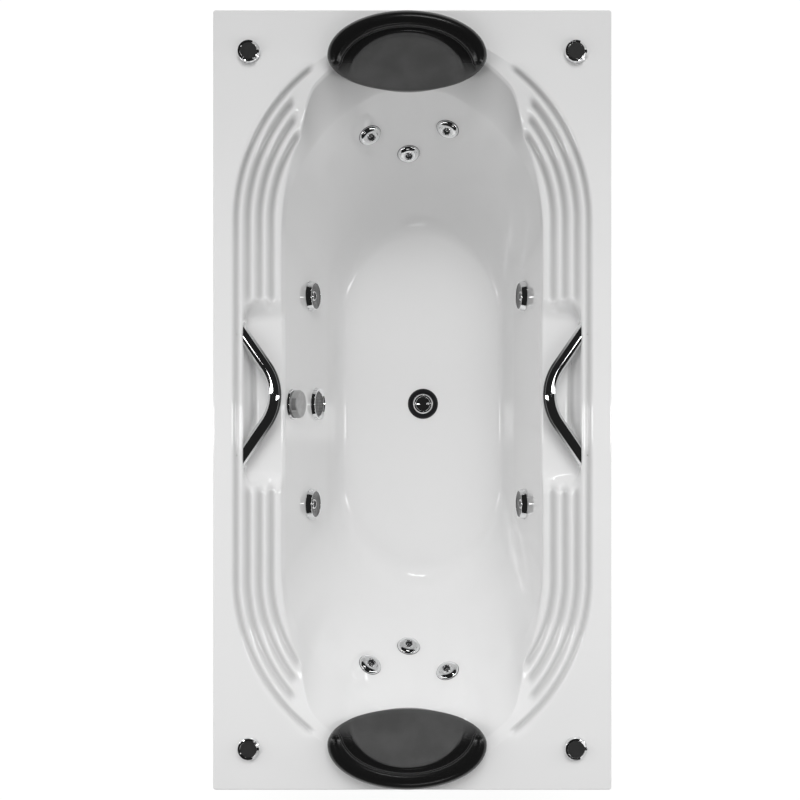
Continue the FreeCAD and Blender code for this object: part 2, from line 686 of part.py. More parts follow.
def tub_shell():
    collar = float(S.shell_wall) / 2
    outer_pocket = pocket(float(S.shell_wall), collar)
    middle, across = Vec(0, 0, 0), Vec(1, 0, 0)
    outside = fused("ShellOutside", [
        deck_tray(),
        solid("BasinOutside", basin(float(S.shell_wall), collar)),
        solid("PocketOutsideRight", outer_pocket),
        solid("PocketOutsideLeft", outer_pocket.mirror(middle, across)),
    ])
    hollow = cut("ShellHollow", outside, solid("BasinInside", void))
    hand = pocket(0.0, 5.0)
    hands = solid("Pockets", Part.makeCompound([hand, hand.mirror(middle, across)]))
    pockets = cut("ShellPockets", hollow, hands)
    ribbed = cut("ShellRibs", pockets, solid("Ribs", Part.makeCompound(rib_tools())))
    grooved = cut("ShellGroove", ribbed, solid("RimGroove", rim_groove()))
    reach = S.shell_wall * 4
    holes = group("ShellHoles", [
        seat_tool("BackSeat", S.back_thread_radius + S.fit_gap, S.back_ring_radius + 1,
                  S.back_thread_radius + S.nut_margin * 2, BACK_SEATS),
        seat_tool("SideSeat", S.side_thread_radius + S.fit_gap, S.side_face_radius + 1,
                  S.side_thread_radius + S.nut_margin * 2, SIDE_SEATS),
        seat_tool("OverflowHole", S.overflow_thread + S.fit_gap, S.overflow_radius + 1,
                  S.overflow_thread + S.nut_margin * 2, [OVERFLOW_SEAT]),
        seat_tool("SuctionHole", S.suction_thread + S.fit_gap, S.suction_radius + 1,
                  S.suction_thread + S.nut_margin * 2, [SUCTION_SEAT]),
    ])
    fitted = cut("ShellFitted", grooved, holes)
    straight = group("StraightHoles", [
        drill("ControlHole", S.control_thread + S.fit_gap, reach, CONTROL_SEATS, -reach / 2),
        drill("DrainHole", S.drain_tube + S.fit_gap, reach, [DRAIN_SEAT], -reach / 2),
        drill("PinHole", S.pin_radius + S.fit_gap, S.pin_length, PIN_SEATS, 0),
        drill("StudHole", S.stud_radius + S.fit_gap, reach, STUD_SEATS, -reach / 2),
        drill("StudNutRoom", S.stud_nut_radius + S.fit_gap, S.stud_nut_height * 2, STUD_SEATS, S.shell_wall),
    ])
    return node(cut("TubShell", fitted, straight), "tub_shell")


def drill(name, radius, length, placements, start):
    """Straight holes, each from start along its own Z."""
    return array(name, rod(name, radius, length), [spot * at(0, 0, start) for spot in placements])


def base_board():
    """Board laminated under the floor, with a hole for the drain."""
    board = block("Board", (S.board_half_width * 2, S.board_half_length * 2, S.board_thickness),
                  (S.floor_shift - S.board_half_width, -S.board_half_length, board_bottom))
    hole = drill("BoardHole", S.drain_tube + S.fit_gap, S.board_thickness * 3, [DRAIN_SEAT],
                 -S.shell_wall - S.board_thickness * 2)
    return node(cut("BaseBoard", board, group("BoardDrill", [hole])), "base_board")


def square_tube(name, side, size):
    """A square tube from the origin along the axis in which size is longest."""
    longest = max(range(3), key=lambda axis: size[axis])
    wall = S.rail_wall
    inner = [size[axis] + wall * 4 if axis == longest else side - wall * 2 for axis in range(3)]
    corner = [-wall * 2 if axis == longest else wall for axis in range(3)]
    return cut(name, block(f"{name}Bar", size, (0, 0, 0)), block(f"{name}Bore", inner, corner))


def frame_rails():
    rail = square_tube("Rail", S.rail_side, (S.rail_side, S.rail_length, S.rail_side))
    lows = [at(S.floor_shift + side * S.rail_spread - S.rail_side / 2, -S.rail_length / 2, rail_bottom)
            for side in (-1, 1)]
    return copies("frame_rails", rail, lows)


def frame_cross_tubes():
    """Cross tubes under the rails, bored from below for the levelling feet."""
    tube = square_tube("CrossTube", S.rail_side, (S.cross_length, S.rail_side, S.rail_side))
    bores = [at(S.cross_length / 2 + side * S.foot_spread, S.rail_side / 2, 0) for side in (-1, 1)]
    bored = cut("BoredTube", tube, group("FootBores", [
        drill("FootBore", S.foot_bolt_radius + S.fit_gap, S.rail_wall * 4, bores, -S.rail_wall * 2)]))
    lows = [at(-S.cross_length / 2, end * reach - S.rail_side / 2, foot_top)
            for end in (-1, 1) for reach in (S.cross_inner, S.cross_outer)]
    return copies("frame_cross_tubes", bored, lows)


def frame_posts():
    """Posts from the cross tubes up to the underside of the rim."""
    height = S.deck_height - S.shell_wall - rail_bottom
    post = square_tube("Post", S.post_side, (S.post_side, S.post_side, height))
    lows = [at(side * S.post_spread - S.post_side / 2, end * reach - S.post_side / 2, rail_bottom)
            for side in (-1, 1) for end in (-1, 1) for reach in (S.cross_inner, S.cross_outer)]
    return copies("frame_posts", post, lows)


def feet():
    """Levelling feet and the nuts that lock them against the cross tubes."""
    spots = [at(side * S.foot_spread, end * reach, 0)
             for side in (-1, 1) for end in (-1, 1) for reach in (S.cross_inner, S.cross_outer)]
    pad, bolt = S.foot_pad_radius, S.foot_bolt_radius
    foot = turned("Foot", [(0, 0), (pad, 0), (pad, S.foot_pad_height / 2), (bolt, S.foot_pad_height),
                           (bolt, foot_top + S.foot_bolt_reach), (0, foot_top + S.foot_bolt_reach)])
    copies("levelling_feet", foot, spots)
    nut = hex_nut("FootNut", S.foot_nut_radius, bolt + S.fit_gap, S.foot_nut_height)
    lift = foot_top - S.foot_nut_height
    copies("foot_lock_nuts", nut, [spot * at(0, 0, lift) for spot in spots])


def hex_nut(name, corner_radius, bore, height):
    prism = doc.addObject("Part::Prism", f"{name}Hex")
    prism.Polygon = 6
    bind(prism, Circumradius=corner_radius, Height=height)
    return cut(name, prism, rod(f"{name}Bore", bore, height * 3, at(0, 0, -height)))


# ---------------------------------------------------------------- pillows and handles

def pillow_outline(z, share, forward):
    """The pillow's outline: a high arch behind its widest line, a flat one before it."""
    wide, back, front = (float(size) * share for size in (S.pillow_half_width, S.pillow_back, S.pillow_front))
    spots = [Vec(wide, -forward, z), Vec(0, back - forward, z),
             Vec(-wide, -forward, z), Vec(0, -front - forward, z)]
    edges = []
    for index, height in enumerate((back, back, front, front)):
        start, end = spots[index], spots[(index + 1) % 4]
        bend = Vec(0.7071 * wide * (1 if index in (0, 3) else -1), -forward, z)
        bend.y += 0.7071 * height * (1 if index < 2 else -1)
        edges.append(Part.Arc(start, bend, end).toShape())
    return Part.Wire(edges)


def pillow(label, end):
    """A crowned cushion with drawn-in sides and a flat head face, fitted to the seat under it."""
    crown = float(S.pillow_crown)
    face = float(S.pillow_face)
    rings = ((-2.1, 0.9, 0.0), (-0.9, 0.97, 0.0), (-0.1, 1.0, 0.0), (0.55, 0.97, 0.0), (0.9, 0.9, 0.03),
             (1.0, face, 0.07))
    wires = [pillow_outline(rise * crown, share, forward * crown * 2) for rise, share, forward in rings]
    blank = Part.makeLoft(wires, True, True)
    blank.Placement = FreeCAD.Placement(Vec(S.seat_line, S.pillow_line, S.deck_height),
                                        FreeCAD.Rotation(Vec(1, 0, 0), float(S.pillow_tilt)))
    depth = S.basin_depth / 2
    corner = Vec(-S.tub_width / 2, 0, S.deck_height + S.fit_gap - depth)
    bed = Part.makeBox(S.tub_width, S.tub_length / 2, depth, corner)
    cushion = blank.cut(bed.cut(basin(-float(S.fit_gap), 5.0)))
    if end < 0:
        cushion = cushion.mirror(Vec(0, 0, 0), Vec(0, 1, 0))
    return node(solid("Pillow", cushion), label)


def pillow_pins():
    pin = rod("Pin", S.pin_radius, S.pin_length)
    return copies("pillow_pins", pin, PIN_SEATS)


def handle(label, side):
    """Bow handle of bent bar. Its ends are cut flat on the pocket's wall, with a stud in each."""
    lean = math.radians(S.handle_lean)
    height = S.deck_height - S.handle_drop
    apex = S.pocket_reach - S.handle_half_span * math.tan(lean)
    spare = S.handle_radius * 3
    outer = S.pocket_reach + spare
    half = S.handle_half_span + spare / math.tan(lean)
    spots = [Vec(outer, S.handle_line + half, height), Vec(apex, S.handle_line, height),
             Vec(outer, S.handle_line - half, height)]
    path = path_with_bends(spots, S.handle_bend)
    room = float(S.tub_width)
    corner = Vec(S.pocket_reach - room, -room, 0)
    shape = pipe(path, S.handle_radius).common(Part.makeBox(room, room * 2, room, corner))
    if side < 0:
        shape = shape.mirror(Vec(0, 0, 0), Vec(1, 0, 0))
    own_studs = STUD_SEATS[2:] if side > 0 else STUD_SEATS[:2]
    studs = [rod("Stud", S.stud_radius, S.stud_length + S.stud_root, seat * at(0, 0, -S.stud_root))
             for seat in own_studs]
    return node(fused("Handle", [solid("Bow", shape)] + studs), label)


def handle_nuts():
    nut = hex_nut("StudNut", S.stud_nut_radius, S.stud_radius + S.fit_gap, S.stud_nut_height)
    return copies("handle_nuts", nut, [seat * at(0, 0, S.shell_wall) for seat in STUD_SEATS])


# ---------------------------------------------------------------- jets

def root(value):
    return Size(math.sqrt(value), f"sqrt({text_of(value)})")


def jet_body(name, flange, thread, ball, bore):
    """Flanged threaded tube with a hose barb behind and a socket for the ball in front."""
    socket = ball + S.fit_gap
    end = -S.thread_length - S.barb_length
    return turned(name, [
        (bore, end), (S.barb_radius, end), (S.barb_radius, -S.thread_length), (thread, -S.thread_length),
        (thread, 0), (flange, 0), (flange, S.flange_height), (socket, S.flange_height),
        (socket, -ball), (bore, -ball)])


def jet_cover(name, placement, radius, height, flange, ball, lift):
    """Domed cover over the flange, with the ball's opening in its middle."""
    inside = S.flange_height + S.fit_gap * 2
    opening = root(ball * ball - height * height) + S.fit_gap * 3
    return turned(name, [
        (flange + S.fit_gap, lift), (radius, lift), (radius, height / 4),
        ((radius + opening) / 2, height * 0.8), (opening, height),
        (ball + S.fit_gap * 3, inside), (flange + S.fit_gap, inside)], placement)


def ball_nozzle(name, placement, ball, front, bore):
    """Nozzle ball of three bands, cut flat in front, with a water way that opens outwards."""
    return turned(name, [
        (bore, -ball / 2), (root(ball * ball - ball * ball / 4), -ball / 2), (ball, 0),
        (root(ball * ball - front * front / 4), front / 2), (root(ball * ball - front * front), front),
        (bore * 1.3, front), (bore, front / 2)], placement)


def back_jets():
    body = jet_body("BackJetBody", S.back_flange_radius, S.back_thread_radius,
                    S.back_ball_radius, S.back_bore)
    copies("back_jet_bodies", body, BACK_SEATS)
    ring = jet_cover("BackJetRing", None, S.back_ring_radius, S.back_ring_height, S.back_flange_radius,
                     S.back_ball_radius, 0)
    copies("back_jet_rings", ring, BACK_SEATS)
    nut = fitting_nut("BackJetNut", S.back_thread_radius)
    copies("back_jet_nuts", nut, [seat * at(0, 0, -S.jet_grip - S.nut_height) for seat in BACK_SEATS])
    for number, seat in enumerate(BACK_SEATS, 1):
        node(ball_nozzle("BackNozzle", seat, S.back_ball_radius, S.back_ball_front, S.back_bore),
             f"back_jet_nozzle_{number}")


def side_jets():
    body = jet_body("SideJetBody", S.side_flange_radius, S.side_thread_radius,
                    S.side_ball_radius, S.side_bore)
    copies("side_jet_bodies", body, SIDE_SEATS)
    nut = fitting_nut("SideJetNut", S.side_thread_radius)
    copies("side_jet_nuts", nut, [seat * at(0, 0, -S.jet_grip - S.nut_height) for seat in SIDE_SEATS])
    for number, seat in enumerate(SIDE_SEATS, 1):
        node(jet_cover("SideFace", seat, S.side_face_radius, S.side_face_height, S.side_flange_radius,
                       S.side_ball_radius, S.fit_gap), f"side_jet_face_{number}")
        node(ball_nozzle("SideNozzle", seat, S.side_ball_radius, S.side_ball_front, S.side_bore),
             f"side_jet_nozzle_{number}")


def fitting_nut(name, thread):
    return hex_nut(name, thread + S.nut_margin * 1.6, thread + S.fit_gap, S.nut_height)


# ---------------------------------------------------------------- corner controls

def controls():
    """Three air controls whose caps turn, and a start button that slides in a bezel of the same look."""
    air_seats, button_seat = CONTROL_SEATS[:3], CONTROL_SEATS[3]
    thread, pin = S.control_thread, S.control_pin
    neck = S.flange_height * 3
    body = turned("ControlBody", [
        (0, -S.control_length), (thread, -S.control_length), (thread, 0), (S.control_flange, 0),
        (S.control_flange, S.flange_height), (pin, S.flange_height), (pin, neck), (0, neck)])
    copies("air_control_bodies", body, air_seats)
    nut = fitting_nut("ControlNut", thread)
    copies("control_nuts", nut, [seat * at(0, 0, -S.shell_wall - S.nut_height) for seat in CONTROL_SEATS])
    for number, seat in enumerate(air_seats, 1):
        node(control_cap(seat), f"air_knob_{number}")
    radius, height, disc = S.control_radius, S.control_height, S.control_disc
    guide = disc + S.spin_gap
    bezel = turned("StartBezel", [
        (0, -S.control_length), (thread, -S.control_length), (thread, 0), (radius, 0), (radius, height / 2),
        (disc + S.flange_height, height), (guide, height), (guide, S.flange_height), (0, S.flange_height)],
        button_seat)
    node(bezel, "start_bezel")
    top = height - S.flange_height / 3
    foot = S.flange_height + S.button_travel + S.fit_gap
    node(turned("StartButton", [(0, foot), (disc, foot), (disc, top), (0, top)], button_seat), "start_button")


def control_cap(seat):
    """Turning cap with a sunk disc on top and a pointer on its rim."""
    radius, height, disc = S.control_radius, S.control_height, S.control_disc
    inside = S.flange_height * 3 + S.fit_gap
    sunk = height - S.flange_height / 3
    spigot, flange = S.control_pin + S.spin_gap, S.control_flange + S.fit_gap
    cap = turned("ControlCap", [
        (0, inside), (spigot, inside), (spigot, S.flange_height + S.fit_gap),
        (flange, S.flange_height + S.fit_gap), (flange, S.fit_gap),
        (radius, S.fit_gap), (radius, height / 2), (disc + S.flange_height, height), (disc, height),
        (disc, sunk), (0, sunk)])
    pointer = block("Pointer", (S.flange_height, S.flange_height, S.flange_height / 2),
                    (disc + S.flange_height / 4, -S.flange_height / 2, height - S.flange_height / 4))
    whole = fused("AirKnob", [cap, pointer])
    whole.Placement = seat
    return whole


# ---------------------------------------------------------------- overflow filler, suction and drain

def overflow():
    """Filler in the left wall: its cap turns the drain's plug up and down."""
    seat = OVERFLOW_SEAT
    thread, stem = S.overflow_thread, S.overflow_stem
    height, front, radius = S.overflow_ring_height, S.overflow_cap_front, S.overflow_cap_radius
    rear = -S.overflow_ring_height * 15
    ring_bore = thread + S.flange_height * 2
    tube = turned("OverflowTube", [
        (0, rear), (thread, rear), (thread, 0), (ring_bore - S.fit_gap, 0),
        (ring_bore - S.fit_gap, height / 2), (stem + S.spin_gap, height / 2),
        (stem + S.spin_gap, rear / 3), (0, rear / 3)], seat)
    spout_top = seat.multVec(Vec(0, 0, rear + thread / 2))
    spout = rod("OverflowSpout", S.drain_tube / 2, S.spout_length,
                at(spout_top.x, spout_top.y, spout_top.z - S.spout_length))
    node(fused("OverflowBody", [tube, spout]), "overflow_body")
    node(turned("OverflowRing", [(ring_bore, 0), (S.overflow_radius, 0), (S.overflow_radius, height / 2),
                                 (ring_bore, height)], seat), "overflow_ring")
    lift = height + S.fit_gap * 2
    node(turned("OverflowCap", [
        (0, rear / 3 + S.fit_gap), (stem, rear / 3 + S.fit_gap), (stem, lift), (radius - height, lift),
        (radius, lift + height),
        (radius, front - height, height), (radius - height, front), (0, front)], seat), "overflow_cap")
    return spout_top


def suction():
    """Slotted cover over a chamber in the left wall, and the pipe from it to the pump."""
    seat = SUCTION_SEAT
    thread, bore, height = S.suction_thread, S.suction_bore, S.suction_height
    rear = -thread * 2
    cover = turned("SuctionDome", [
        (0, height / 2), (thread, height / 2), (thread, 0), (S.suction_radius, 0),
        (S.suction_radius, height / 3),
        (thread, height), (0, height)])
    slots = ring_of("SuctionSlots", (S.suction_radius - bore, S.flange_height, height * 2),
                    (bore - height, -S.flange_height / 2, height / 4), int(S.suction_slots))
    slotted = cut("SuctionCover", cover, group("SuctionCut", [slots]))
    slotted.Placement = seat
    node(slotted, "suction_cover")
    slope = Vec(0, -1, -1).normalize()
    port_start = seat.multVec(Vec(0, 0, rear + bore))
    port_seat = facing(port_start, slope)
    port_wall = S.suction_pipe_radius - S.drain_wall
    outside = fused("SuctionOutside", [
        rod("Chamber", thread, -S.fit_gap - rear, seat * at(0, 0, rear)),
        rod("SuctionPort", S.suction_pipe_radius, S.suction_port_length, port_seat)])
    inside = fused("SuctionInside", [
        rod("ChamberBore", bore, -rear, seat * at(0, 0, rear + S.drain_wall)),
        rod("SuctionPortBore", port_wall, S.suction_port_length * 2, port_seat)])
    node(cut("SuctionBody", outside, inside), "suction_body")
    start = port_start + slope * float(S.suction_port_length)
    low = Vec(start.x, start.y - (start.z - pump_height), pump_height)
    inlet = S.pump_x - S.volute_width / 2 - S.port_length
    points = [start, low, Vec(start.x, S.pump_y, pump_height), Vec(inlet, S.pump_y, pump_height)]
    tube = elbowed(points, S.suction_pipe_radius).cut(elbowed(points, port_wall))
    node(solid("SuctionPipe", tube), "suction_pipe")
    nuts = [fitting_nut("OverflowNut", S.overflow_thread), fitting_nut("SuctionNut", thread)]
    for nut, place in zip(nuts, (OVERFLOW_SEAT, SUCTION_SEAT)):
        nut.Placement = place * at(0, 0, -S.jet_grip - S.nut_height)
    node(group("WallNuts", nuts), "wall_fitting_nuts")


def drain(spout_top):
    """Drain in the floor: flange, lifting plug, waste body with its tailpiece, and the overflow hose."""
    flange_tube = S.drain_tube
    bore = flange_tube - S.drain_wall
    collar = -S.shell_wall - S.board_thickness - S.waste_radius
    node(turned("DrainFlange", [
        (bore, collar), (flange_tube, collar), (flange_tube, 0), (S.drain_radius, 0),
        (S.drain_radius, S.drain_height / 4), (S.drain_mouth + S.drain_wall, S.drain_height),
        (S.drain_mouth, S.drain_height), (bore, S.drain_height / 4)], DRAIN_SEAT), "drain_flange")
    stem = S.plug_stem
    low = S.drain_height + S.fit_gap
    dome = S.plug_height - S.drain_height / 2
    crown = low + S.plug_height
    node(turned("DrainPlug", [
        (0, collar + S.plug_lift), (stem, collar + S.plug_lift), (stem, low), (S.plug_radius, low),
        (S.plug_radius, crown - dome), (S.plug_radius / 2, crown - dome / 4),
        (0, crown)], DRAIN_SEAT), "drain_plug")
    x, y = S.floor_shift, S.fittings_line
    top = board_bottom
    body = S.waste_radius
    tail_bore = S.tail_radius - S.drain_wall
    inlet = flange_tube + S.fit_gap
    waste = turned("Waste", [
        (tail_bore, S.tail_bottom), (S.tail_radius, S.tail_bottom), (S.tail_radius, S.waste_bottom),
        (body, S.waste_bottom), (body, top - S.drain_height), (body + S.drain_height, top - S.drain_height),
        (body + S.drain_height, top), (inlet, top), (inlet, S.waste_bottom + S.drain_height),
        (tail_bore, S.waste_bottom + S.drain_height)], at(x, y, 0))
    hose_height = S.waste_bottom + S.hose_radius + S.drain_wall
    spout_seat = facing(Vec(x - flange_tube - S.drain_wall, y, hose_height), Vec(-1, 0, 0))
    spout = rod("WasteSpout", S.drain_tube / 2, S.spout_length, spout_seat)
    node(fused("WasteBody", [waste, spout]), "waste_body")
    points = [Vec(spout_top.x, y, spout_top.z - S.spout_length), Vec(spout_top.x, y, hose_height),
              Vec(x - flange_tube - S.drain_wall - S.spout_length, y, hose_height)]
    node(solid("OverflowHose", pipe(path_with_bends(points, S.hose_bend), S.hose_radius)), "overflow_hose")


# ---------------------------------------------------------------- water and air

def ring_main():
    """Ring main at jet height with square elbows, and a branch to the back of every jet."""
    x, y, height, radius = S.control_x, S.control_y, S.main_height, S.main_radius
    corners = [Vec(-x, -y, height), Vec(x, -y, height), Vec(x, y, height), Vec(-x, y, height)]
    parts = [Part.makeCylinder(radius, (end - start).Length, start, end - start)
             for start, end in zip(corners, corners[1:] + corners[:1])]
    parts += [Part.makeCylinder(S.elbow_radius, S.elbow_radius * 2, corner - UP * float(S.elbow_radius))
              for corner in corners]
    rear = -S.thread_length - S.barb_length
    for seat in BACK_SEATS + SIDE_SEATS:
        start = seat.multVec(Vec(0, 0, rear))
        lead = seat.multVec(Vec(0, 0, rear - S.branch_lead))
        if abs(start.y) > S.side_jet_spread + 1:
            goal = Vec(lead.x, math.copysign(y, start.y), height)
        else:
            goal = Vec(math.copysign(x, start.x), start.y, height)
        parts.append(elbowed([start, lead, goal], S.branch_radius))
    port = Vec(S.pump_x, S.pump_y, pump_height + S.volute_radius + S.port_rise)
    riser = [port, Vec(port.x, port.y, height), Vec(port.x, -y, height)]
    parts.append(elbowed(riser, S.main_radius))
    return node(solid("RingMain", parts[0].fuse(parts[1:])), "ring_main")


def air_tubes():
    """Tubes that let air from the corner controls into the elbows of the ring main."""
    length = S.deck_height - S.control_length - S.main_height - S.elbow_radius - S.fit_gap
    tube = rod("AirTube", S.air_radius, length)
    drop = at(0, 0, -S.control_length - length)
    return copies("air_tubes", tube, [seat * drop for seat in CONTROL_SEATS[:3]])


# ---------------------------------------------------------------- pump

def pump():
    """Pump on its plate: volute, impeller on the motor's shaft, finned housing, fan and cowl."""
    inlet_side = FreeCAD.Placement(Vec(S.pump_x, S.pump_y, pump_height), FreeCAD.Rotation(UP, Vec(-1, 0, 0)))
    half, wall, radius, port = S.volute_width / 2, S.volute_wall, S.volute_radius, S.port_bore
    shaft_hole = S.shaft_radius + S.spin_gap
    casing = turned("Casing", [
        (port, half + S.port_length), (S.port_radius, half + S.port_length), (S.port_radius, half),
        (radius, half),
        (radius, -half), (shaft_hole, -half), (shaft_hole, wall - half), (radius - wall, wall - half),
        (radius - wall, half - wall), (port, half - wall)], inlet_side)
    rise = rod("PressurePort", S.main_radius, S.volute_wall + S.port_rise,
               at(S.pump_x, S.pump_y, pump_height + radius - wall))
    node(fused("Volute", [casing, rise]), "pump_volute")
    node(impeller(inlet_side), "pump_impeller")
    fan_end = -half - S.motor_length - S.cowl_length + S.cowl_wall * 4
    nose = half - wall * 4
    node(turned("Shaft", [(0, fan_end), (S.shaft_radius, fan_end), (S.shaft_radius, nose), (0, nose)],
                inlet_side), "motor_shaft")
    node(motor_housing(inlet_side), "motor_housing")
    node(cooling_fan(inlet_side), "cooling_fan")
    back = -half - S.motor_length
    end = back - S.cowl_length
    outer = S.motor_radius
    node(turned("Cowl", [
        (S.shaft_radius * 2, end), (outer, end), (outer, back), (outer - S.cowl_wall, back),
        (outer - S.cowl_wall, end + S.cowl_wall),
        (S.shaft_radius * 2, end + S.cowl_wall)], inlet_side), "fan_cowl")
    return pump_bracket()


def impeller(placement):
    """A back plate with straight vanes round its hub."""
    wall, half = S.volute_wall, S.volute_width / 2
    back = wall * 2 - half
    plate = turned("ImpellerPlate", [
        (S.shaft_radius, back - wall / 2), (S.impeller_radius, back - wall / 2), (S.impeller_radius, back),
        (S.shaft_radius * 2, back),
        (S.shaft_radius * 2, half - wall * 4), (S.shaft_radius, half - wall * 4)])
    hub = S.shaft_radius * 2
    vane = (S.impeller_radius - hub + 1, wall / 2, half)
    return with_blades("Impeller", plate, vane, (hub - 1, 0, back - wall / 4), S.impeller_blades, placement)


def cooling_fan(placement):
    """Hub and blades on the shaft's far end."""
    near = -S.volute_width / 2 - S.motor_length - S.cowl_wall * 2
    far = near - S.cowl_length / 2
    outer = S.shaft_radius * 2
    hub = turned("FanHub", [(S.shaft_radius, far), (outer, far), (outer, near), (S.shaft_radius, near)])
    blade = (S.fan_radius - outer + 1, S.cowl_wall, S.cowl_length / 2)
    return with_blades("Fan", hub, blade, (outer - 1, 0, far), S.fan_blades, placement)


def with_blades(name, hub, size, corner, count, placement):
    """Like blades spaced evenly round a hub."""
    whole = fused(name, [hub, group(f"{name}Blades", [ring_of(name, size, corner, int(count))])])
    whole.Placement = placement
    return whole


def motor_housing(placement):
    """Housing with cooling fins between its end flanges, bored for the shaft."""
    near = -S.volute_width / 2
    far = near - S.motor_length
    outer, flange, lip = S.motor_radius, S.motor_radius + S.fin_height, S.fin_height * 2
    bore = S.shaft_radius + S.spin_gap
    tube = turned("Housing", [
        (bore, near), (flange, near), (flange, near - lip), (outer, near - lip), (outer, far + lip),
        (flange, far + lip), (flange, far), (bore, far)])
    fin = (S.fin_height * 2 - 1, S.fin_thickness, S.motor_length - lip * 2)
    corner = (outer - S.fin_height, -S.fin_thickness / 2, far + lip)
    return with_blades("Motor", tube, fin, corner, S.motor_fins, placement)


def pump_bracket():
    """Plate on the rails, with a saddle under each end flange of the motor."""
    flange = S.motor_radius + S.fin_height
    lip = S.fin_height * 2
    near = S.pump_x + S.volute_width / 2
    top = board_bottom + S.plate_thickness
    plate = block("Plate", (S.rail_spread * 2 + S.rail_side, flange * 2, S.plate_thickness),
                  (S.floor_shift - S.rail_spread - S.rail_side / 2, S.pump_y - flange, board_bottom))
    saddles = [block("Saddle", (lip, flange, S.pump_axis / 2), (low, S.pump_y - flange / 2, top - 1))
               for low in (near, near + S.motor_length - lip)]
    bar = bind(doc.addObject("Part::Cylinder", "SaddleCut"), Radius=flange + S.fit_gap, Height=S.motor_length)
    bar.Placement = FreeCAD.Placement(Vec(near, S.pump_y, pump_height), FreeCAD.Rotation(UP, Vec(1, 0, 0)))
    return node(cut("PumpBracket", fused("Saddled", [plate] + saddles), bar), "pump_bracket")


# ---------------------------------------------------------------- build, test and write

def check_document():
    """Stop if any object failed, or if a sub-part is empty or not valid."""
    doc.recompute()
    failed = [thing.Label for thing in doc.Objects if "Invalid" in thing.State or "Error" in thing.State]
    for piece in nodes:
        shape = Part.getShape(piece)
        if shape.isNull() or not shape.Solids or not shape.isValid():
            failed.append(piece.Label)
    if failed:
        raise RuntimeError(f"failed, empty or not valid: {', '.join(failed)}")


def write_parts():
    os.makedirs("parts", exist_ok=True)
    for piece in nodes:
        Part.getShape(piece).exportStep(f"parts/{piece.Label}.step")


def main():
    tub_shell()
    base_board()
    frame_rails()
    frame_cross_tubes()
    frame_posts()
    feet()
    pillow("pillow_head", 1)
    pillow("pillow_foot", -1)
    pillow_pins()
    handle("handle_left", -1)
    handle("handle_right", 1)
    handle_nuts()
    back_jets()
    side_jets()
    controls()
    spout_top = overflow()
    suction()
    drain(spout_top)
    ring_main()
    air_tubes()
    pump()
    check_document()
    write_parts()
    print(f"{len(nodes)} nodes")
    for piece in nodes:
        shape = Part.getShape(piece)
        box = shape.BoundBox
        print(f"{piece.Label:22s} {len(shape.Solids)} solids, volume {shape.Volume / 1e3:9.1f} cm3, "
              f"z {box.ZMin:6.1f} to {box.ZMax:6.1f}")


main()
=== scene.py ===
import json
import math

import bmesh
import bpy
import numpy as np
from bpy.props import FloatProperty, FloatVectorProperty, IntProperty, PointerProperty
from bpy.types import Operator, Panel, PropertyGroup
from mathutils import Matrix, Vector
from mathutils.bvhtree import BVHTree


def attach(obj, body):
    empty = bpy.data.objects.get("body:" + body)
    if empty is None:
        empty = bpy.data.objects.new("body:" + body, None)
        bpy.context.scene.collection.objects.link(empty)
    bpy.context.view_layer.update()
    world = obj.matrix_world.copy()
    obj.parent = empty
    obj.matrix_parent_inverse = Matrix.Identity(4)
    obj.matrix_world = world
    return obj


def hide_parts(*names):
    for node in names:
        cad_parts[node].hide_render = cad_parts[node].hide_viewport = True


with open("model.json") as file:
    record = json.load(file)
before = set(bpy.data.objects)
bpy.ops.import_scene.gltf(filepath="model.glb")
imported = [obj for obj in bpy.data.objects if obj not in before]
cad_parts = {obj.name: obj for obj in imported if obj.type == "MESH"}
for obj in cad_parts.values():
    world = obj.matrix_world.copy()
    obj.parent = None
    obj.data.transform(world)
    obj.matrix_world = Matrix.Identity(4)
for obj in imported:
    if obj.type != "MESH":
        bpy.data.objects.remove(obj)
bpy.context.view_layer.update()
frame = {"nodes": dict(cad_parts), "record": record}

bl_info = {
    "name": "Jetted Bathtub",
    "version": (1, 0, 0),
    "blender": (4, 5, 0),
    "location": "3D View > Sidebar > Bathtub",
    "description": "Dresses a drop-in tub: shell, pillows, handles, jets, controls, drain and plumbing",
    "category": "Object",
}

# Sizes are in millimetres where no unit is given, and MM turns them into metres.
MM = 0.001
RIM_HEIGHT = 580.0
FLOOR_HEIGHT = 160.0
HALF_WIDTH = 460.0
HALF_LENGTH = 900.0
DECK_CORNER = 6.0
DECK_EDGE = 3.0
LIP_DROP = 40.0
WALL = 8.0


# ---------------------------------------------------------------- settings

class TubStageSettings(PropertyGroup):
    """Camera, lamps and backdrop."""
    camera_height: FloatProperty(name="Camera height", description="Camera above the floor",
                                 default=3.58, unit="LENGTH")
    camera_x: FloatProperty(name="Camera X", description="Camera beside the tub's centre line",
                            default=-0.0283, unit="LENGTH")
    lens: FloatProperty(name="Lens", description="Focal length in millimetres", default=58.5)
    key_light: FloatProperty(name="Key light", description="Strength of the far light over the head end",
                             default=1.47)
    key_lean: FloatProperty(name="Key lean", description="Lean of the far light from overhead",
                            default=math.radians(34), unit="ROTATION")
    foot_light: FloatProperty(name="Foot light", description="Power of the softbox over the foot end",
                              default=4.0, unit="POWER")
    side_light: FloatProperty(name="Side lights", description="Power of each strip beside the tub",
                              default=16.0, unit="POWER")
    end_light: FloatProperty(name="End lights", description="Power of each window beyond the ends",
                             default=4.0, unit="POWER")
    fill: FloatProperty(name="Fill", description="Strength of the surrounding light", default=0.18)


